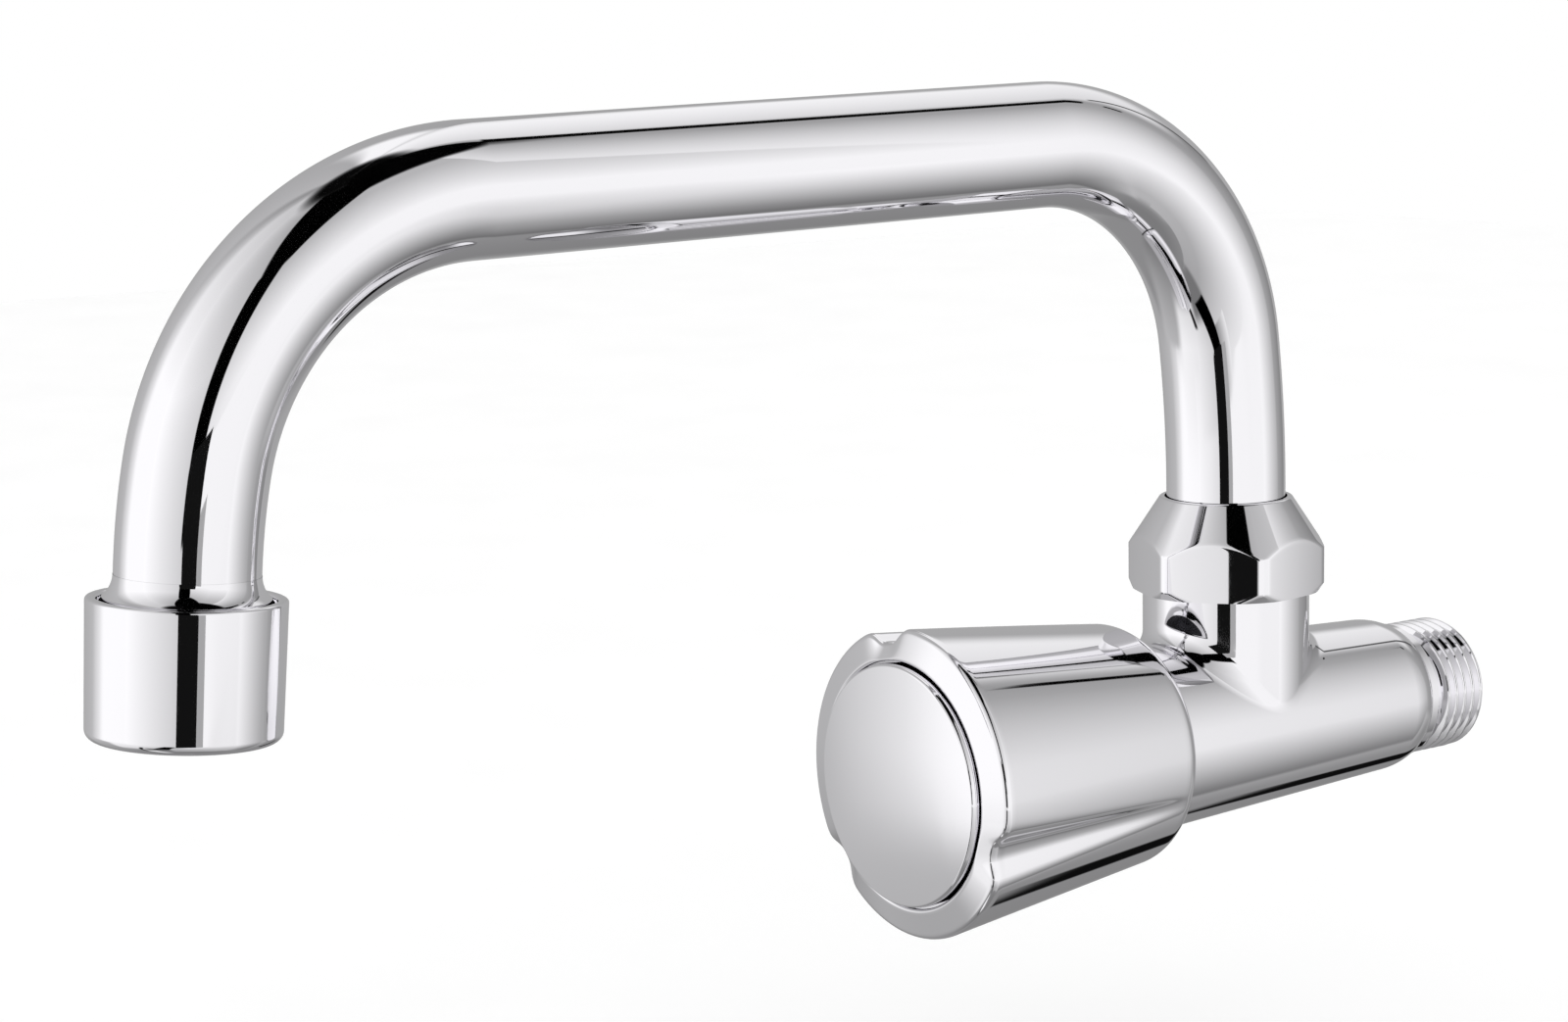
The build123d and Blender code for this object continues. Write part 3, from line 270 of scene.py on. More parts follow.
def add_node(tree, kind, values=None, inputs=None, **attributes):
    """Adds a node with its settings, its sockets' values and its links."""
    node = tree.nodes.new(kind)
    for name, value in attributes.items():
        setattr(node, name, value)

    def socket(key):
        if isinstance(key, int):
            return node.inputs[key]
        return next(each for each in node.inputs if each.name == key and each.enabled)

    for key, value in (values or {}).items():
        socket(key).default_value = value
    for key, source in (inputs or {}).items():
        tree.links.new(source, socket(key))
    return node


def new_material(name):
    """A material without nodes yet, and its node tree."""
    material = bpy.data.materials.new(name)
    material.use_nodes = True
    material.node_tree.nodes.clear()
    return material, material.node_tree


def noisy_surface(name, hex_value, metallic, relief, gloss):
    """A surface whose relief and gloss follow noises on the object's own coordinates.

    Relief is the size and detail of its noise and the strength and depth of its bumps. Gloss is
    the size of its noise and the lowest and highest roughness.
    """
    relief_size, relief_detail, strength, depth = relief
    gloss_size, low, high = gloss
    material, tree = new_material(name)
    place = add_node(tree, "ShaderNodeTexCoord")
    bumps, haze = [
        add_node(
            tree, "ShaderNodeTexNoise", {"Scale": 1 / size, "Detail": detail, "Roughness": NOISE_ROUGHNESS},
            {"Vector": place.outputs["Object"]},
        )
        for size, detail in ((relief_size, relief_detail), (gloss_size, NOISE_DETAIL))
    ]
    normal = add_node(
        tree, "ShaderNodeBump", {"Strength": strength, "Distance": depth}, {"Height": bumps.outputs["Fac"]}
    )
    roughness = add_node(
        tree, "ShaderNodeMapRange",
        {"From Min": NOISE_LOW, "From Max": NOISE_HIGH, "To Min": low, "To Max": high},
        {"Value": haze.outputs["Fac"]},
    )
    shader = add_node(
        tree, "ShaderNodeBsdfPrincipled", {"Base Color": linear(hex_value), "Metallic": metallic},
        {"Roughness": roughness.outputs["Result"], "Normal": normal.outputs["Normal"]},
    )
    add_node(tree, "ShaderNodeOutputMaterial", inputs={"Surface": shader.outputs["BSDF"]})
    return material


def chrome():
    """Bright chrome over polished brass, which every outside piece shares.

    It is a mirror with the slightest polishing waves and a breath of haze.
    """
    name = "Bright chrome plate"
    waves = (9 * MILLIMETRE, 1.0, 0.05, 0.02 * MILLIMETRE)
    haze = (3 * MILLIMETRE, 0.025, 0.04)
    return bpy.data.materials.get(name) or noisy_surface(name, settings().finishes.chrome, 1.0, waves, haze)


def machined(name, hex_value, groove):
    """Turned or cast metal: fine marks that soften the mirror to a sheen."""
    relief = (groove, NOISE_DETAIL, 0.2, 0.02 * MILLIMETRE)
    return noisy_surface(name, hex_value, 1.0, relief, (groove, 0.22, 0.34))


def moulded(name, hex_value, grain, low, high):
    """A moulded or pressed surface: a fine grain in its gloss and its relief."""
    relief = (grain, NOISE_DETAIL, 0.15, 0.03 * MILLIMETRE)
    return noisy_surface(name, hex_value, 0.0, relief, (grain, low, high))


def add_object(mesh_data, name, material):
    """Makes a finished mesh an object of one material, in the scene."""
    mesh = bpy.data.meshes.new(name)
    mesh_data.to_mesh(mesh)
    mesh_data.free()
    mesh.materials.append(material)
    added = bpy.data.objects.new(name, mesh)
    bpy.context.scene.collection.objects.link(added)
    return added


def give_piece(mesh_data, name, body, slot, *nodes):
    """Makes the finished mesh a chromed piece that rides on its body and stands for its nodes."""
    bmesh.ops.recalc_face_normals(mesh_data, faces=mesh_data.faces)
    piece = add_object(mesh_data, name, chrome())
    piece.data.shade_smooth()
    piece.data.set_sharp_from_angle(angle=SHARP_ANGLE)
    weighted = piece.modifiers.new("Even shading", "WEIGHTED_NORMAL")
    weighted.mode = "FACE_AREA"
    weighted.weight = 100
    weighted.keep_sharp = True
    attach(piece, body)
    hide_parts(*nodes)
    return piece


def closed_outline(mesh_data, corners, to_place):
    """A closed wire through the corners."""
    points = [mesh_data.verts.new(to_place(*corner)) for corner in corners]
    for first, second in zip(points, points[1:] + points[:1]):
        mesh_data.edges.new((first, second))
    return points


def divide_runs(mesh_data, points, runs):
    """Divides runs of a wire outline, each given by its first corner's number and its cuts."""
    found = []
    for first, cuts in runs:
        ends = {points[first], points[first + 1]}
        found.append((next(edge for edge in points[first].link_edges if set(edge.verts) == ends), cuts))
    for run, cuts in found:
        bmesh.ops.subdivide_edges(mesh_data, edges=[run], cuts=cuts)


def round_corner(mesh_data, point, radius, segments):
    """Rounds one corner of a wire outline."""
    directions = [(edge.other_vert(point).co - point.co).normalized() for edge in point.link_edges]
    inside = directions[0].angle(directions[1])
    bmesh.ops.bevel(
        mesh_data, geom=[point], offset=radius / tan(inside / 2), offset_type="OFFSET", affect="VERTICES",
        segments=segments, profile=0.5, material=-1,
    )


def turn_outline(mesh_data, centre, axis, segments):
    """Turns everything in the mesh once round an axis."""
    bmesh.ops.spin(
        mesh_data, geom=mesh_data.verts[:] + mesh_data.edges[:], cent=centre, axis=axis, dvec=NO_SHIFT,
        angle=2 * pi, steps=segments, use_merge=True, use_normal_flip=False, use_duplicate=False,
    )
    bmesh.ops.remove_doubles(mesh_data, verts=mesh_data.verts, dist=MERGE_DISTANCE)


def turn_part(mesh_data, part, centre, axis, turn, steps):
    """Turns a part of the mesh through an angle, and gives what the last step made."""
    return bmesh.ops.spin(
        mesh_data, geom=part, cent=centre, axis=axis, dvec=NO_SHIFT, angle=turn, steps=steps,
        use_duplicate=False,
    )["geom_last"]


def extend_wire(mesh_data, last, places):
    """Carries a wire on from its last vertex through more places, and gives the new last one."""
    for place in places:
        following = mesh_data.verts.new(place)
        mesh_data.edges.new((last, following))
        last = following
    return last


def body_place(forward, radius):
    """A point of an outline that turns about the body's axis."""
    return Vector((radius, -forward, 0))


def neck_place(height, radius):
    """A point of an outline that turns about the swivel axis."""
    return Vector((radius, -settings().spout.axis_forward, height))


def neck_axis(height):
    """A point of the swivel axis."""
    return Vector((0, -settings().spout.axis_forward, height))


def outlet_place(below, radius):
    """A point of an outline that turns about Z and then moves to the outlet."""
    return Vector((radius, 0, below))


def spout_moves():
    """The tube's centreline as runs and bends, each a length or radius and a turn."""
    spout = settings().spout
    quarter = radians(90)
    return [
        (spout.riser_run, 0),
        (spout.riser_ease_radius, spout.riser_ease_turn),
        (spout.rear_bend_radius, quarter + spout.arm_fall - spout.riser_ease_turn),
        (spout.arm_run, 0),
        (spout.front_bend_radius, quarter - spout.arm_fall - spout.drop_ease_turn - spout.drop_splay),
        (spout.drop_ease_radius, spout.drop_ease_turn),
        (spout.drop_run, 0),
    ]


def spout_place(forward, height):
    """A point in the spout's plane."""
    return Vector((0, -settings().spout.axis_forward - forward, height))


def follow_spout(on_run, on_bend):
    """Goes along the tube's centreline and calls back at each run and bend."""
    place = Vector((0, settings().spout.foot_height))
    heading = radians(90)
    for size, turn in spout_moves():
        if turn:
            centre = place + size * Vector((sin(heading), -cos(heading)))
            heading -= turn
            place = centre + size * Vector((-sin(heading), cos(heading)))
            on_bend(spout_place(*centre), turn, size)
        else:
            step = size * Vector((cos(heading), sin(heading)))
            place = place + step
            on_run(Vector((0, -step.x, step.y)))
    return place, heading


def outlet_matrix():
    """Moves a piece turned about Z to the cup's rim, with Z down the drop."""
    (forward, height), heading = follow_spout(lambda step: None, lambda centre, turn, size: None)
    down = Vector((0, -cos(heading), sin(heading)))
    across = down.cross(X_AXIS)
    turn = Matrix((X_AXIS, across, down)).transposed().to_4x4()
    return Matrix.Translation(spout_place(forward, height)) @ turn


# How the softboxes dim towards their tops, and their light on the table downwards: the two
# heights between which the tone falls, in degrees, and how far it falls
LEFT_BOX_FALL, RIGHT_BOX_FALL = (25, 72, 0.22), (8, 52, 0.26)
LEFT_TABLE_FALL, RIGHT_TABLE_FALL = (-12, -50, 0.14), (-9, -47, 0.26)

# What the chrome reflects, each panel laid over those before it, in degrees from the camera's
# direction and over the horizon
STUDIO_PANELS = (
    # The grey wall behind, lighter above
    dict(left=95, right=144, bottom=-91, top=91, tone=(0.7, 0.5), soft=6),
    dict(left=143, right=181, bottom=-91, top=91, tone=(0.66, 0.64), soft=2),
    dict(left=-181, right=-100, bottom=-91, top=91, tone=(0.62, 0.74), soft=2),
    dict(left=126, right=181, bottom=25, top=91, tone=(0.84, 0.97), soft=12),
    dict(left=-181, right=-158, bottom=45, top=91, tone=(0.97, 0.97), soft=12),
    # The softbox at the camera's right, dimmer towards its top
    dict(left=70, right=112, bottom=-30, top=91, tone=(1.0, 0.7), soft=6, fall=(8, 52, 0.1)),
    dict(left=-35, right=75, bottom=-30, top=91, tone=(0.965, 0.965), soft=1, fall=RIGHT_BOX_FALL),
    dict(left=-35, right=48, bottom=5, top=91, tone=(0.8, 0.97), soft=1, fall=RIGHT_BOX_FALL),
    # The large softbox at its left
    dict(left=-121, right=-85, bottom=-17, top=91, tone=(0.72, 1.1), soft=14, fall=LEFT_BOX_FALL),
    dict(left=-98, right=-55, bottom=-17, top=91, tone=(1.0, 1.0), soft=14, fall=LEFT_BOX_FALL),
    dict(left=-61, right=3, bottom=-17, top=91, tone=(1.01, 0.8), soft=1, fall=LEFT_BOX_FALL),
    # The dark ceiling, lower over the right softbox
    dict(left=-181, right=181, bottom=78, top=92, tone=(0.06, 0.06), soft=8),
    dict(left=20, right=119, bottom=60, top=92, tone=(0.03, 0.03), soft=4),
    # The right softbox's dark edge, and the wall's dark seam
    dict(left=118.4, right=120.9, bottom=36, top=40.4, tone=(0.04, 0.04), soft=0.8),
    dict(left=122.7, right=109.8, bottom=46, top=62, tone=(0.04, 0.04), soft=1.2, lean=(-0.11, 0.28)),
    dict(left=148.6, right=151.2, bottom=14, top=44, tone=(0.34, 0.34), soft=1.5, lean=(-0.46, -0.46)),
    # The black gap between the softboxes, where the camera stands
    dict(left=28, right=-32.5, bottom=42, top=80, tone=(0.02, 0.02), soft=3, lean=(-0.6, 1.25)),
    dict(left=-1.5, right=14, bottom=2, top=46, tone=(0.02, 0.02), soft=1.5, lean=(0, 0.08)),
    # The white table, brightest under the softboxes and darker at the back
    dict(left=-181, right=181, bottom=-92, top=-18, tone=(0.74, 0.74), soft=6, fall=(-12, -72, 0.26)),
    dict(left=-88, right=-40, bottom=-44, top=-12, tone=(1.0, 0.93), soft=16, fall=LEFT_TABLE_FALL),
    dict(left=40, right=77, bottom=-60, top=-8, tone=(0.96, 0.96), soft=14, fall=RIGHT_TABLE_FALL),
    dict(left=72, right=112, bottom=-60, top=-8, tone=(0.99, 0.68), soft=6, fall=RIGHT_TABLE_FALL),
    dict(left=-50, right=-8.5, bottom=-44, top=-12.8, tone=(0.95, 0.79), soft=1, fall=LEFT_TABLE_FALL,
         lean=(0, 0.25)),
    dict(left=-8.5, right=60, bottom=-60, top=-12.8, tone=(0.9, 0.96), soft=1, fall=RIGHT_TABLE_FALL,
         lean=(0.25, 0)),
    dict(left=-8.5, right=15, bottom=-26, top=-12.8, tone=(0.5, 0.92), soft=1, lean=(0.25, 0)),
    dict(left=-181, right=-135, bottom=-92, top=-20, tone=(0.54, 0.54), soft=20),
    dict(left=120, right=181, bottom=-92, top=-20, tone=(0.54, 0.5), soft=20),
    dict(left=-44, right=-12, bottom=-60, top=-34, tone=(0.45, 0.45), soft=10),
    dict(left=-62, right=-40, bottom=-76, top=-56, tone=(0.95, 0.95), soft=8),
    # The gap's foot, the table's dark front edge, and its dark corner behind the tap
    dict(left=-2.5, right=15.5, bottom=-2, top=5, tone=(0.02, 0.02), soft=1.2, lean=(0.1, -0.4)),
    dict(left=-3.75, right=4, bottom=-42, top=-12.8, tone=(0.02, 0.02), soft=1.5, lean=(0.75, 0.4)),
    dict(left=-29.5, right=-24.5, bottom=-72, top=-30, tone=(0.1, 0.1), soft=3, lean=(0.61, 0.61)),
    dict(left=174.8, right=165, bottom=-44.5, top=-26, tone=(0.08, 0.08), soft=2.5, lean=(0.92, 0.42)),
)

# The black camera and the grey flag beside it, with their places, widths and lower and upper
# edges in metres
STUDIO_CARDS = (
    dict(name="camera_body", place=(0.2944, -0.3366), width=0.13, bottom=-0.07, top=0.1, tone=0.1),
    dict(name="grey_flag", place=(0.3516, -0.2639), width=0.055, bottom=-0.07, top=0.038, tone=0.66),
)
CARD_FACING = Vector((0.7857, -0.6187, 0))

# The tone round the panels, and what makes good the light that the chrome takes away
SURROUND_TONE = 0.8
REFLECTED_STRENGTH = 1.06


def lay_panel(
    tree, azimuth, elevation, below, left, right, bottom, top, tone, soft, fall=(0, 1, 0), lean=(0, 0)
):
    """Lays one panel, with edges as soft as soft is wide, over what is below it in the studio.

    The tone runs from the left to the right edge and falls by fall's last number between its two
    heights. The upright edges lean sideways by lean for each degree of height.
    """
    half = soft / 2
    edges = []
    for place, slant, rising in ((left, lean[0], True), (right, lean[1], False)):
        upright = add_node(
            tree, "ShaderNodeMath", {1: -slant}, {0: elevation, 2: azimuth}, operation="MULTIPLY_ADD"
        )
        edges.append((upright.outputs["Value"], place, rising))
    edges += [(elevation, bottom, True), (elevation, top, False)]
    share = None
    for source, place, rising in edges:
        edge = add_node(
            tree, "ShaderNodeMapRange",
            {"From Min": place - half, "From Max": place + half, "To Min": 1 - rising, "To Max": rising},
            {"Value": source}, interpolation_type="SMOOTHSTEP",
        )
        if share is None:
            share = edge.outputs["Result"]
        else:
            both = add_node(
                tree, "ShaderNodeMath", inputs={0: share, 1: edge.outputs["Result"]}, operation="MULTIPLY"
            )
            share = both.outputs["Value"]
    across = add_node(
        tree, "ShaderNodeMapRange",
        {"From Min": left, "From Max": right, "To Min": tone[0], "To Max": tone[1]}, {"Value": azimuth},
    )
    drop = add_node(
        tree, "ShaderNodeMapRange",
        {"From Min": fall[0], "From Max": fall[1], "To Min": 0, "To Max": fall[2]}, {"Value": elevation},
    )
    level = add_node(
        tree, "ShaderNodeMath", inputs={0: across.outputs["Result"], 1: drop.outputs["Result"]},
        operation="SUBTRACT",
    )
    mixed = add_node(
        tree, "ShaderNodeMix", inputs={"Factor": share, "A": below, "B": level.outputs["Value"]},
        data_type="RGBA",
    )
    return mixed.outputs[2]


def barrel_slope(body):
    """How much the barrel's radius grows for each unit of length forward."""
    taper = body.front - body.collar_width - body.shoulder_length
    return (body.front_diameter - body.rear_diameter) / 2 / taper


def barrel_radius(body, forward):
    """The tapered barrel's radius at a distance forward of the collar's face."""
    return body.front_diameter / 2 - barrel_slope(body) * (body.front - forward)


def shoulder_arc(body, steps):
    """Points of the arc from the collar up to the taper, which it leaves in line."""
    taper = Vector((body.collar_width + body.shoulder_length, body.rear_diameter / 2))
    end = Vector((body.collar_width, body.rear_diameter / 2 - body.shoulder_drop))
    along = Vector((-1, -barrel_slope(body))).normalized()
    inward = Vector((-along.y, along.x))
    chord = end - taper
    radius = chord.length_squared / (2 * chord.dot(inward))
    turn = asin(chord.dot(along) / radius)
    points = []
    for step in range(steps + 1):
        part = turn * (1 - step / steps)
        points.append(tuple(taper + radius * (inward * (1 - cos(part)) + along * sin(part))))
    return points


def blend_ball(body, heading):
    """The ball that rolls round the neck's foot: its centre, radius and two contact directions."""
    radius = body.blend_across * cos(heading) ** 2 + body.blend_along * sin(heading) ** 2
    slope = barrel_slope(body)
    stretch = sqrt(1 + slope ** 2)
    outward = Vector((cos(heading), sin(heading), 0))
    centre = neck_axis(0) + outward * (body.neck_diameter / 2 + radius)
    around = barrel_radius(body, -centre.y) + radius * stretch
    centre.z = sqrt(around ** 2 - centre.x ** 2)
    to_barrel = Vector((-centre.x / around, -slope, -centre.z / around)) / stretch
    return centre, radius, -outward, to_barrel


class TAP_OT_body(bpy.types.Operator):
    """Builds the valve body: threaded inlet, tapered barrel and softly blended neck"""

    bl_idname = "tap.body"
    bl_label = "Valve body"

    def execute(self, context):
        mesh_data = bmesh.new()
        for make in (self.thread, self.barrel, self.neck):
            part = bmesh.new()
            make(part, settings().body)
            shell = bpy.data.meshes.new("shell")
            part.to_mesh(shell)
            part.free()
            mesh_data.from_mesh(shell)
            bpy.data.meshes.remove(shell)
        give_piece(mesh_data, "body_chromed", "body", "chrome_plate", "valve_body")
        return {"FINISHED"}

    def thread(self, part, body):
        """The inlet's thread, a ridge wound round it that runs out at both ends."""
        root, crest = body.thread_root / 2, body.thread_crest / 2
        flank = radians(27.5)
        sunk_root = root - 0.05 * MILLIMETRE
        crest_rounding = 0.2 * MILLIMETRE
        end_chamfer = 0.8 * MILLIMETRE
        # The turns over which the ridge grows to its height, and the share that it starts with
        run_out, least_share = 0.15, 0.02
        crest_half = body.thread_pitch / 12
        foot_half = crest_half + (crest - root) * tan(flank)
        start = body.relief_width + foot_half
        turns = (body.inlet_length - start) / body.thread_pitch
        steps = 96
        points = closed_outline(
            part,
            [
                (-start + foot_half, sunk_root),
                (-start + crest_half, crest),
                (-start - crest_half, crest),
                (-start - foot_half, sunk_root),
            ],
            body_place,
        )
        for point in points[1:3]:
            round_corner(part, point, crest_rounding, segments=3)
        bmesh.ops.spin(
            part, geom=part.verts[:] + part.edges[:], cent=ORIGIN, axis=Y_AXIS,
            dvec=(0, body.thread_pitch / steps, 0), angle=2 * pi * turns, steps=round(turns * steps),
            use_merge=False, use_normal_flip=False, use_duplicate=False,
        )
        for vert in part.verts:
            around = atan2(-vert.co.z, vert.co.x) / (2 * pi)
            along = (vert.co.y - start) / body.thread_pitch
            turn = around + round(along - around)
            share = max(least_share, min(1, turn / run_out))
            chamfer = max(0, vert.co.y - body.inlet_length + end_chamfer)
            outward = Vector((vert.co.x, 0, vert.co.z))
            height = max(outward.length - root, 0)
            lower = min(height, max(height * (1 - share), outward.length - crest + chamfer))
            vert.co -= outward.normalized() * lower
            vert.co.y = min(vert.co.y, body.inlet_length)
        bmesh.ops.holes_fill(part, edges=[edge for edge in part.edges if edge.is_boundary])

    def barrel(self, part, body):
        """The barrel with its inlet, bore and chamber, and an opening that the neck fills."""
        bore, chamber, thread = body.bore_diameter / 2, body.chamber_diameter / 2, body.thread_diameter / 2
        root = body.thread_root / 2
        end_chamfer = 0.5 * MILLIMETRE
        closed_outline(
            part,
            [
                (-body.inlet_length, bore),
                (-body.inlet_length, root - end_chamfer),
                (-body.inlet_length + end_chamfer, root),
                (0, root),
                (0, body.collar_diameter / 2),
                (body.collar_width, body.collar_diameter / 2),
                *shoulder_arc(body, steps=12),
                (body.window_rear, barrel_radius(body, body.window_rear)),
                (body.window_front, barrel_radius(body, body.window_front)),
                (body.front, body.front_diameter / 2),
                (body.front, thread),
                (body.thread_rear, thread),
                (body.thread_rear, chamber),
                (body.window_front, chamber),
                (body.window_rear, chamber),
                (body.seat, chamber),
                (body.seat, bore),
            ],
            body_place,
        )
        turn_outline(part, ORIGIN, Y_AXIS, segments=288)
        opened = []
        for face in part.faces:
            middle = face.calc_center_median()
            over = abs(atan2(middle.x, middle.z)) < body.window_half
            if over and body.window_rear < -middle.y < body.window_front:
                opened.append(face)
        bmesh.ops.delete(part, geom=opened, context="FACES")
        bmesh.ops.bridge_loops(part, edges=[edge for edge in part.edges if edge.is_boundary])

    def neck(self, part, body):
        """The neck with its socket, whose foot follows a ball rolled between neck and barrel."""
        socket, thread, neck = body.socket_diameter / 2, body.neck_thread_diameter / 2, body.neck_diameter / 2
        port = body.port_diameter / 2
        blend_top = body.neck_step / 2
        hidden = -1 * MILLIMETRE
        close = 0.01 * MILLIMETRE
        points = closed_outline(
            part,
            [
                (body.neck_top, socket),
                (body.neck_top, thread),
                (body.neck_step, thread),
                (body.neck_step, neck),
                (blend_top, neck),
                (0, neck),
                (hidden, neck),
                (body.port_foot, port),
                (body.socket_floor, port),
                (body.socket_floor, socket),
            ],
            neck_place,
        )
        # Rings for the neck's upright side and for its rounded foot
        divide_runs(part, points, ((3, 8), (4, 31)))
        turn_outline(part, neck_axis(0), Z_AXIS, segments=240)
        for vert in part.verts:
            outward = vert.co - neck_axis(vert.co.z)
            height = vert.co.z
            if outward.length < neck - close or height > body.neck_step - close:
                continue
            centre, radius, to_neck, to_barrel = blend_ball(body, atan2(outward.y, outward.x))
            if height > blend_top:
                share = (body.neck_step - height) / (body.neck_step - blend_top)
                vert.co.z = body.neck_step + share * (centre.z - body.neck_step)
            elif height > hidden / 2:
                share = 1 - max(height, 0) / blend_top
                vert.co = centre + radius * to_neck.slerp(to_barrel, share)
            else:
                vert.co = centre + (radius - hidden) * to_barrel


def flat_radius(nut, turned):
    """How far one of the nut's slightly crowned flats is from the axis at one angle."""
    sixth = radians(60)
    off = (turned - nut.turn) % sixth - sixth / 2
    back = nut.crown_radius - nut.across_flats / 2
    return sqrt(nut.crown_radius ** 2 - (back * sin(off)) ** 2) - back * cos(off)


class TAP_OT_nut(bpy.types.Operator):
    """Builds the coned hexagon nut on the body's neck, its edges softened by polishing"""

    bl_idname = "tap.nut"
    bl_label = "Spout nut"

    def execute(self, context):
        nut = settings().nut
        top = nut.bottom + nut.height
        corner = nut.corner_diameter / 2
        top_rounding = 0.4 * MILLIMETRE
        mesh_data = bmesh.new()
        points = closed_outline(
            mesh_data,
            [
                (nut.bottom, nut.bore_diameter / 2),
                (nut.bottom, corner - nut.chamfer),
                (nut.bottom + 1.5 * nut.chamfer, corner),
                (top - nut.cone_height, corner),
                (top, nut.top_diameter / 2),
                (top, nut.hole_diameter / 2),
                (top - nut.roof, nut.hole_diameter / 2),
                (top - nut.roof, nut.bore_diameter / 2),
            ],
            neck_place,
        )
        # Rings for the chamfer, the flats and the cone, which are then drawn in to a hexagon
        divide_runs(mesh_data, points, ((1, 5), (2, 24), (3, 40)))
        top_edge = neck_place(top, nut.top_diameter / 2)
        edge_point = min(mesh_data.verts, key=lambda vert: (vert.co - top_edge).length)
        round_corner(mesh_data, edge_point, top_rounding, segments=4)
        turn_outline(mesh_data, neck_axis(0), Z_AXIS, segments=480)
        for vert in mesh_data.verts:
            outward = vert.co - neck_axis(vert.co.z)
            flat = flat_radius(nut, atan2(outward.y, outward.x))
            share = (1 + (outward.length / flat) ** nut.sharpness) ** (-1 / nut.sharpness)
            vert.co -= outward * (1 - share)
        give_piece(mesh_data, "nut_chromed", "body", "chrome_plate", "spout_nut")
        return {"FINISHED"}


def flute_dip(knob, forward, turned):
    """How far a flute lowers the knob's surface at one place."""
    share = (forward - knob.rear - knob.flute_start) / (knob.rim - knob.rear - knob.flute_start)
    if share <= 0:
        return 0.0
    narrow_end, steepness = 0.35, 1.4
    third = 2 * pi / 3
    off = (turned - knob.flute_angle + third / 2) % third - third / 2
    radius = knob.front_diameter / 2
    width = knob.flute_width * (narrow_end + (1 - narrow_end) * share)
    return knob.flute_depth * share * exp(-abs(off * radius / width) ** 3 * steepness)


class TAP_OT_knob(bpy.types.Operator):
    """Builds the knob: a tapered shell with soft flutes and a recessed face"""

    bl_idname = "tap.knob"
    bl_label = "Knob"

    def execute(self, context):
        knob = settings().knob
        slope = (knob.front_diameter - knob.rear_diameter) / 2 / (knob.rim - knob.rear)
        face = knob.rim + knob.face_rise
        floor = face - knob.recess_depth
        web_rear = floor - knob.web
        cavity_rear = knob.rear + knob.rear_wall
        recess = knob.recess_diameter / 2
        opening = knob.opening_diameter / 2
        hole = knob.screw_hole_diameter / 2

        def taper(forward):
            return knob.rear_diameter / 2 + slope * (forward - knob.rear)

        mesh_data = bmesh.new()
        points = closed_outline(
            mesh_data,
            [
                (knob.rear, opening),
                (knob.rear, taper(knob.rear)),
                (knob.rim, taper(knob.rim)),
                (face, recess),
                (floor, recess),
                (floor, hole),
                (web_rear, hole),
                (web_rear, taper(web_rear) - knob.wall),
                (cavity_rear, taper(cavity_rear) - knob.wall),
                (cavity_rear, opening),
            ],
            body_place,
        )
        round_corner(mesh_data, points[1], knob.rear_rounding, segments=14)
        round_corner(mesh_data, points[2], knob.rim_rounding, segments=8)
        round_corner(mesh_data, points[3], knob.recess_rounding, segments=5)
        # Rings that the flutes bend: on the long runs of the wall, then on those of the face
        least_wall_run, least_face_run, most_face_run = 30 * MILLIMETRE, 1.5 * MILLIMETRE, 8 * MILLIMETRE
        wall_runs = [
            edge for edge in mesh_data.edges
            if edge.calc_length() > least_wall_run
            and min(vert.co.x for vert in edge.verts) > opening + MILLIMETRE
        ]
        bmesh.ops.subdivide_edges(mesh_data, edges=wall_runs, cuts=48)
        face_runs = [
            edge for edge in mesh_data.edges
            if least_face_run < edge.calc_length() < most_face_run
            and min(-vert.co.y for vert in edge.verts) > knob.rim - knob.rim_rounding / 2
        ]
        bmesh.ops.subdivide_edges(mesh_data, edges=face_runs, cuts=10)
        turn_outline(mesh_data, ORIGIN, Y_AXIS, knob.segments)
        for vert in mesh_data.verts:
            forward = -vert.co.y
            radius = Vector((vert.co.x, vert.co.z)).length
            outside = taper(min(forward, knob.rim)) - knob.wall / 2
            on_face = forward > knob.rim - knob.rim_rounding
            if radius < outside and not on_face or radius <= recess:
                continue
            turned = Vector((1, 0)).angle_signed(Vector((vert.co.x, vert.co.z)), 0) * -1
            dip = flute_dip(knob, min(forward, knob.rim), turned)
            if on_face:
                dip *= min(1, (radius - recess) / (knob.front_diameter / 2 - recess))
            scale = (radius - dip) / radius
            vert.co.x *= scale
            vert.co.z *= scale
        piece = give_piece(mesh_data, "knob_chromed", "knob", "knob_chrome", "knob_shell")
        # The knob's inside and rear faces get near-black bare casting: painted shade
        self.paint_shade_inside(piece.data, web_rear + 0.1 * MILLIMETRE)
        return {"FINISHED"}

    def paint_shade_inside(self, mesh, front):
        """Dark, dull bare casting on the inside and the rear, where no plating reaches; its near-black colour
        is painted shade, which shows in the neck's reflection.
        """
        faces_inwards, faces_rear = 0.3, 0.8
        casting = settings().finishes.casting
        mesh.materials.append(machined("Bare casting with painted shade", casting, 0.8 * MILLIMETRE))
        for face in mesh.polygons:
            centre, normal = face.center, face.normal
            radius = Vector((centre.x, centre.z)).length
            inwards = -(normal.x * centre.x + normal.z * centre.z) / radius
            if -centre.y < front and (inwards > faces_inwards or normal.y > faces_rear):
                face.material_index = 1


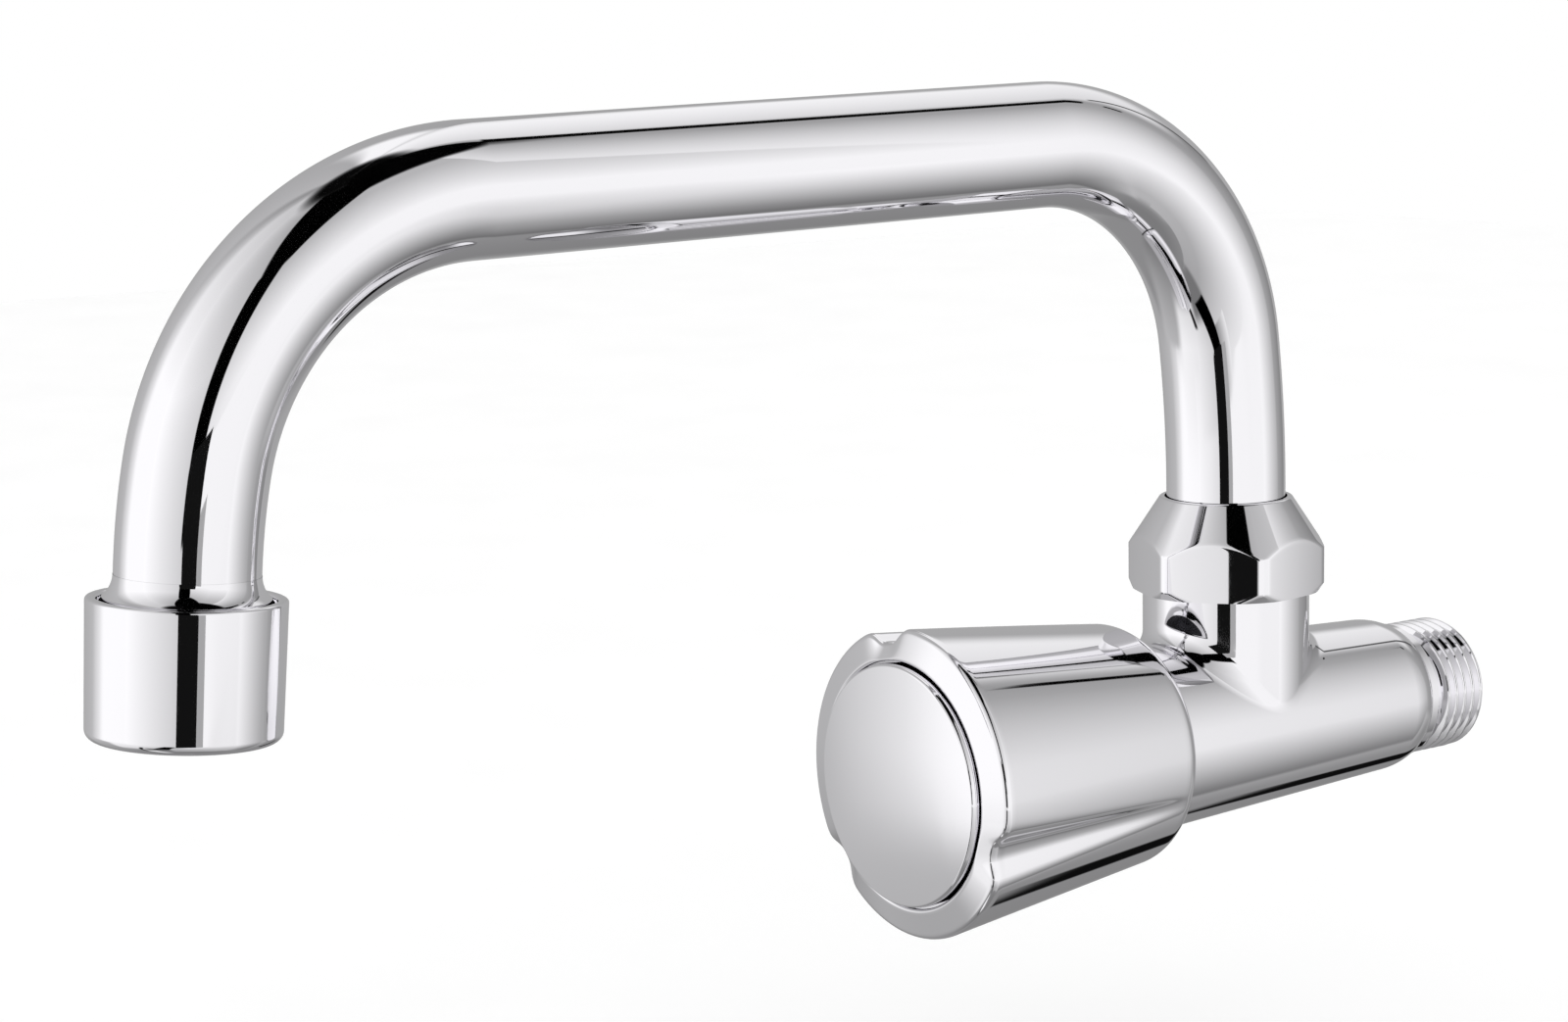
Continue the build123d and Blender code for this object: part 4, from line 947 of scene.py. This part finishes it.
class TAP_OT_cap(bpy.types.Operator):
    """Builds the domed cap in the knob's face"""

    bl_idname = "tap.cap"
    bl_label = "Index cap"

    def execute(self, context):
        knob = settings().knob
        cap = settings().cap
        face = knob.rim + knob.face_rise
        floor = face - knob.recess_depth
        edge = face + cap.rise
        radius = knob.recess_diameter / 2 - cap.gap
        sphere = (radius ** 2 + cap.dome ** 2) / (2 * cap.dome)
        mesh_data = bmesh.new()
        top = mesh_data.verts.new(body_place(edge + cap.dome, 0))
        centre = body_place(edge + cap.dome - sphere, 0)
        turn_part(mesh_data, [top], centre, Z_AXIS, atan(radius / (sphere - cap.dome)), steps=40)
        corner = max(mesh_data.verts, key=lambda vert: vert.co.x)
        extend_wire(mesh_data, corner, (body_place(floor, radius), body_place(floor, 0)))
        round_corner(mesh_data, corner, cap.edge_rounding, segments=8)
        turn_outline(mesh_data, ORIGIN, Y_AXIS, segments=240)
        give_piece(mesh_data, "cap_chromed", "knob", "knob_chrome", "index_cap")
        return {"FINISHED"}


class TAP_OT_spout(bpy.types.Operator):
    """Builds the bent tube along its runs and bends"""

    bl_idname = "tap.spout"
    bl_label = "Spout tube"

    def execute(self, context):
        spout = settings().spout
        mesh_data = bmesh.new()
        foot = neck_place(spout.foot_height, 0)
        for radius in (spout.diameter / 2, spout.diameter / 2 - spout.wall):
            bmesh.ops.create_circle(
                mesh_data, radius=radius, segments=spout.segments, matrix=Matrix.Translation(foot)
            )
        bmesh.ops.bridge_loops(mesh_data, edges=mesh_data.edges)
        ring = {"geom": mesh_data.verts[:] + mesh_data.edges[:] + mesh_data.faces[:]}

        def on_run(step):
            grown = bmesh.ops.extrude_face_region(mesh_data, geom=ring["geom"])["geom"]
            bmesh.ops.translate(
                mesh_data, vec=step, verts=[part for part in grown if isinstance(part, bmesh.types.BMVert)]
            )
            ring["geom"] = grown

        def on_bend(centre, turn, size):
            longest_step = 1.2 * MILLIMETRE
            steps = max(4, round(turn * (size + spout.diameter / 2) / longest_step))
            ring["geom"] = turn_part(mesh_data, ring["geom"], centre, X_AXIS, turn, steps)

        heading = follow_spout(on_run, on_bend)[1]
        on_run(spout.end_run * Vector((0, -cos(heading), sin(heading))))
        give_piece(mesh_data, "spout_chromed", "spout", "chrome_plate", "spout_tube")
        return {"FINISHED"}


class TAP_OT_outlet(bpy.types.Operator):
    """Builds the aerator's cup and the flared sleeve that it hangs on"""

    bl_idname = "tap.outlet"
    bl_label = "Outlet"

    def execute(self, context):
        self.cup()
        self.sleeve()
        return {"FINISHED"}

    def cup(self):
        """The cup that holds the aerator."""
        outlet = settings().outlet
        lip_top = outlet.height - outlet.lip_thickness
        mesh_data = bmesh.new()
        points = closed_outline(
            mesh_data,
            [
                (0, outlet.mouth_diameter / 2),
                (0, outlet.rim_diameter / 2),
                (outlet.height, outlet.base_diameter / 2),
                (outlet.height, outlet.lip_diameter / 2),
                (lip_top, outlet.lip_diameter / 2),
                (lip_top, outlet.bore_diameter / 2),
                (outlet.mouth_depth, outlet.bore_diameter / 2),
                (outlet.mouth_depth, outlet.mouth_diameter / 2),
            ],
            outlet_place,
        )
        round_corner(mesh_data, points[0], outlet.rim_rounding, segments=5)
        round_corner(mesh_data, points[1], outlet.rim_rounding, segments=5)
        round_corner(mesh_data, points[2], outlet.base_rounding, segments=12)
        round_corner(mesh_data, points[3], outlet.rim_rounding, segments=5)
        turn_outline(mesh_data, ORIGIN, Z_AXIS, segments=240)
        bmesh.ops.transform(mesh_data, matrix=outlet_matrix(), verts=mesh_data.verts)
        give_piece(mesh_data, "cup_chromed", "spout", "chrome_plate", "aerator_housing")

    def sleeve(self):
        """The sleeve round the tube's end, whose flare runs out to a thin edge on the tube."""
        outlet = settings().outlet
        clearance, thin_edge = 0.03 * MILLIMETRE, 0.004 * MILLIMETRE
        inner = settings().spout.diameter / 2 + clearance
        outer = outlet.sleeve_diameter / 2
        mesh_data = bmesh.new()
        rise = outlet.flare
        width = outer - inner
        flare_radius = (rise ** 2 + width ** 2) / (2 * width)
        start = mesh_data.verts.new(outlet_place(-rise, inner + thin_edge))
        centre = outlet_place(-rise, inner + flare_radius)
        turn_part(mesh_data, [start], centre, Y_AXIS, atan(rise / (flare_radius - width)), steps=14)
        last = max(mesh_data.verts, key=lambda vert: vert.co.z)
        corners = ((outlet.sleeve_length, last.co.x), (outlet.sleeve_length, inner), (-rise, inner))
        last = extend_wire(mesh_data, last, [outlet_place(*corner) for corner in corners])
        mesh_data.edges.new((last, start))
        turn_outline(mesh_data, ORIGIN, Z_AXIS, segments=192)
        bmesh.ops.transform(mesh_data, matrix=outlet_matrix(), verts=mesh_data.verts)
        give_piece(mesh_data, "sleeve_chromed", "spout", "chrome_plate", "outlet_sleeve")


class TAP_OT_inner(bpy.types.Operator):
    """Gives every inner piece its own finish"""

    bl_idname = "tap.inner"
    bl_label = "Inner pieces"

    def execute(self, context):
        finishes = settings().finishes
        # Each finish with the size of its marks or grain, drawn coarser than real so that they show
        by_slot = {
            # A yellow and a grey sheen with fine tool marks
            "brass": (machined, "Machined brass", finishes.brass, 0.5 * MILLIMETRE),
            "steel": (machined, "Stainless steel", finishes.steel, 0.4 * MILLIMETRE),
            # Cream, smooth and glossy
            "ceramic": (moulded, "Lapped alumina", finishes.ceramic, 0.3 * MILLIMETRE, 0.12, 0.2),
            # Black and nearly dull
            "rubber": (moulded, "Nitrile rubber", finishes.rubber, 0.5 * MILLIMETRE, 0.5, 0.7),
            # Red-brown and dull
            "fibre": (moulded, "Vulcanised fibre", finishes.fibre, 0.6 * MILLIMETRE, 0.6, 0.8),
            # White with a waxy gloss
            "white_plastic": (moulded, "Moulded acetal", finishes.plastic, 0.4 * MILLIMETRE, 0.35, 0.5),
        }
        made = {}
        for part in frame["record"]["subparts"]:
            slot = part["material_slot"]
            if slot not in by_slot:
                continue
            if slot not in made:
                make, *values = by_slot[slot]
                made[slot] = make(*values)
            node = frame["nodes"][part["node"]]
            node.data.materials.clear()
            node.data.materials.append(made[slot])
        return {"FINISHED"}


class TAP_OT_studio(bpy.types.Operator):
    """Builds the camera, the world that lights the studio, its floor and its cards"""

    bl_idname = "tap.studio"
    bl_label = "Studio"

    def execute(self, context):
        self.camera()
        self.world()
        self.floor()
        for card in STUDIO_CARDS:
            self.card(**card)
        context.scene.view_settings.view_transform = "Standard"
        return {"FINISHED"}

    def camera(self):
        """The camera, which sees the tap from where the photograph was taken."""
        studio = settings().studio
        azimuth, elevation, roll = studio.camera_azimuth, studio.camera_elevation, studio.camera_roll
        back = Vector((sin(azimuth) * cos(elevation), -cos(azimuth) * cos(elevation), sin(elevation)))
        right = Vector((cos(azimuth), sin(azimuth), 0))
        up = back.cross(right)
        turned_right = right * cos(roll) + up * sin(roll)
        turned_up = up * cos(roll) - right * sin(roll)
        data = bpy.data.cameras.new("camera")
        data.lens = studio.lens
        data.sensor_width = 36
        camera = bpy.data.objects.new("camera", data)
        bpy.context.scene.collection.objects.link(camera)
        turn = Matrix((turned_right, turned_up, back)).transposed().to_4x4()
        camera.matrix_world = Matrix.Translation(Vector(studio.camera_place)) @ turn
        bpy.context.scene.camera = camera

    def world(self):
        """White towards the camera, and softboxes and dark gaps for what the chrome reflects."""
        studio = settings().studio
        world = bpy.data.worlds.new("studio")
        bpy.context.scene.world = world
        world.use_nodes = True
        tree = world.node_tree
        tree.nodes.clear()
        direction = add_node(tree, "ShaderNodeTexCoord")
        turned = add_node(
            tree, "ShaderNodeVectorRotate", {"Angle": radians(90) - studio.camera_azimuth},
            {"Vector": direction.outputs["Generated"]}, rotation_type="Z_AXIS",
        )
        parts = add_node(tree, "ShaderNodeSeparateXYZ", inputs={"Vector": turned.outputs["Vector"]})
        around = add_node(
            tree, "ShaderNodeMath", inputs={0: parts.outputs["Y"], 1: parts.outputs["X"]}, operation="ARCTAN2"
        )
        over = add_node(tree, "ShaderNodeMath", inputs={0: parts.outputs["Z"]}, operation="ARCSINE")
        azimuth, elevation = [
            add_node(
                tree, "ShaderNodeMath", inputs={0: part.outputs["Value"]}, operation="DEGREES"
            ).outputs["Value"]
            for part in (around, over)
        ]
        seen = add_node(tree, "ShaderNodeValue").outputs["Value"]
        seen.default_value = SURROUND_TONE
        for panel in STUDIO_PANELS:
            seen = lay_panel(tree, azimuth, elevation, seen, **panel)
        even = add_node(tree, "ShaderNodeGamma", {"Gamma": SCREEN_GAMMA}, {"Color": seen})
        reflected = add_node(
            tree, "ShaderNodeBackground", {"Strength": REFLECTED_STRENGTH}, {"Color": even.outputs["Color"]}
        )
        white = add_node(tree, "ShaderNodeBackground", {"Color": (1, 1, 1, 1), "Strength": 1.0})
        ray = add_node(tree, "ShaderNodeLightPath")
        either = add_node(
            tree, "ShaderNodeMixShader",
            inputs={
                0: ray.outputs["Is Glossy Ray"], 1: white.outputs["Background"],
                2: reflected.outputs["Background"],
            },
        )
        add_node(tree, "ShaderNodeOutputWorld", inputs={"Surface": either.outputs["Shader"]})

    def card(self, name, place, width, bottom, top, tone):
        """An upright card that only the chrome's reflections see."""
        centre = Vector((*place, (bottom + top) / 2))
        across = Z_AXIS.cross(CARD_FACING)
        turn = Matrix((across * width, Z_AXIS * (top - bottom), CARD_FACING)).transposed().to_4x4()
        mesh_data = bmesh.new()
        bmesh.ops.create_grid(
            mesh_data, x_segments=1, y_segments=1, size=0.5, matrix=Matrix.Translation(centre) @ turn
        )
        material, tree = new_material(name)
        glow = tone ** SCREEN_GAMMA
        shine = add_node(tree, "ShaderNodeEmission", {"Color": (glow, glow, glow, 1), "Strength": 1})
        add_node(tree, "ShaderNodeOutputMaterial", inputs={"Surface": shine.outputs["Emission"]})
        standing = add_object(mesh_data, name, material)
        standing.visible_camera = standing.visible_diffuse = standing.visible_shadow = False
        standing.visible_transmission = False

    def floor(self):
        """The white floor, which takes the tap's shadow."""
        half_size, middle = 1.5, (0, -0.1, -settings().studio.floor_drop)
        grain_size, least_rough, most_rough = 40 * MILLIMETRE, 0.55, 0.65
        glow_for_camera = 0.16
        mesh_data = bmesh.new()
        bmesh.ops.create_grid(
            mesh_data, x_segments=1, y_segments=1, size=half_size, matrix=Matrix.Translation(middle)
        )
        # White paper: evenly dull, and lifted to white where the camera sees it
        material, tree = new_material("White paper sweep")
        ray = add_node(tree, "ShaderNodeLightPath")
        lift = add_node(
            tree, "ShaderNodeMath", {1: glow_for_camera}, {0: ray.outputs["Is Camera Ray"]},
            operation="MULTIPLY",
        )
        place = add_node(tree, "ShaderNodeTexCoord")
        grain = add_node(
            tree, "ShaderNodeTexNoise",
            {"Scale": 1 / grain_size, "Detail": NOISE_DETAIL, "Roughness": NOISE_ROUGHNESS},
            {"Vector": place.outputs["Object"]},
        )
        roughness = add_node(
            tree, "ShaderNodeMapRange",
            {"From Min": NOISE_LOW, "From Max": NOISE_HIGH, "To Min": least_rough, "To Max": most_rough},
            {"Value": grain.outputs["Fac"]},
        )
        paper = add_node(
            tree, "ShaderNodeBsdfPrincipled",
            {"Base Color": linear("F2F2F2"), "Emission Color": (1, 1, 1, 1)},
            {"Roughness": roughness.outputs["Result"], "Emission Strength": lift.outputs["Value"]},
        )
        add_node(tree, "ShaderNodeOutputMaterial", inputs={"Surface": paper.outputs["BSDF"]})
        floor = add_object(mesh_data, "floor", material)
        floor.visible_glossy = False


class TAP_PT_panel(bpy.types.Panel):
    """Lists the tap's pieces"""

    bl_idname = "TAP_PT_panel"
    bl_label = "Tap"
    bl_space_type = "VIEW_3D"
    bl_region_type = "UI"
    bl_category = "Tap"

    def draw(self, context):
        for operator in OPERATORS:
            self.layout.operator(operator.bl_idname)


GROUPS = (BodySizes, SpoutSizes, NutSizes, KnobSizes, CapSizes, OutletSizes, Finishes, Studio, TapSettings)
OPERATORS = (
    TAP_OT_body, TAP_OT_nut, TAP_OT_knob, TAP_OT_cap, TAP_OT_spout, TAP_OT_outlet, TAP_OT_inner, TAP_OT_studio
)


def register():
    """Makes the settings, operators and panel known to Blender."""
    for kind in GROUPS + OPERATORS + (TAP_PT_panel,):
        bpy.utils.register_class(kind)
    bpy.types.Scene.tap = PointerProperty(type=TapSettings)


def unregister():
    """Takes them away again."""
    del bpy.types.Scene.tap
    for kind in reversed(GROUPS + OPERATORS + (TAP_PT_panel,)):
        bpy.utils.unregister_class(kind)


def main():
    """Builds every piece and the studio."""
    register()
    bpy.ops.tap.body()
    bpy.ops.tap.nut()
    bpy.ops.tap.knob()
    bpy.ops.tap.cap()
    bpy.ops.tap.spout()
    bpy.ops.tap.outlet()
    bpy.ops.tap.inner()
    bpy.ops.tap.studio()


if __name__ == "__main__":
    main()
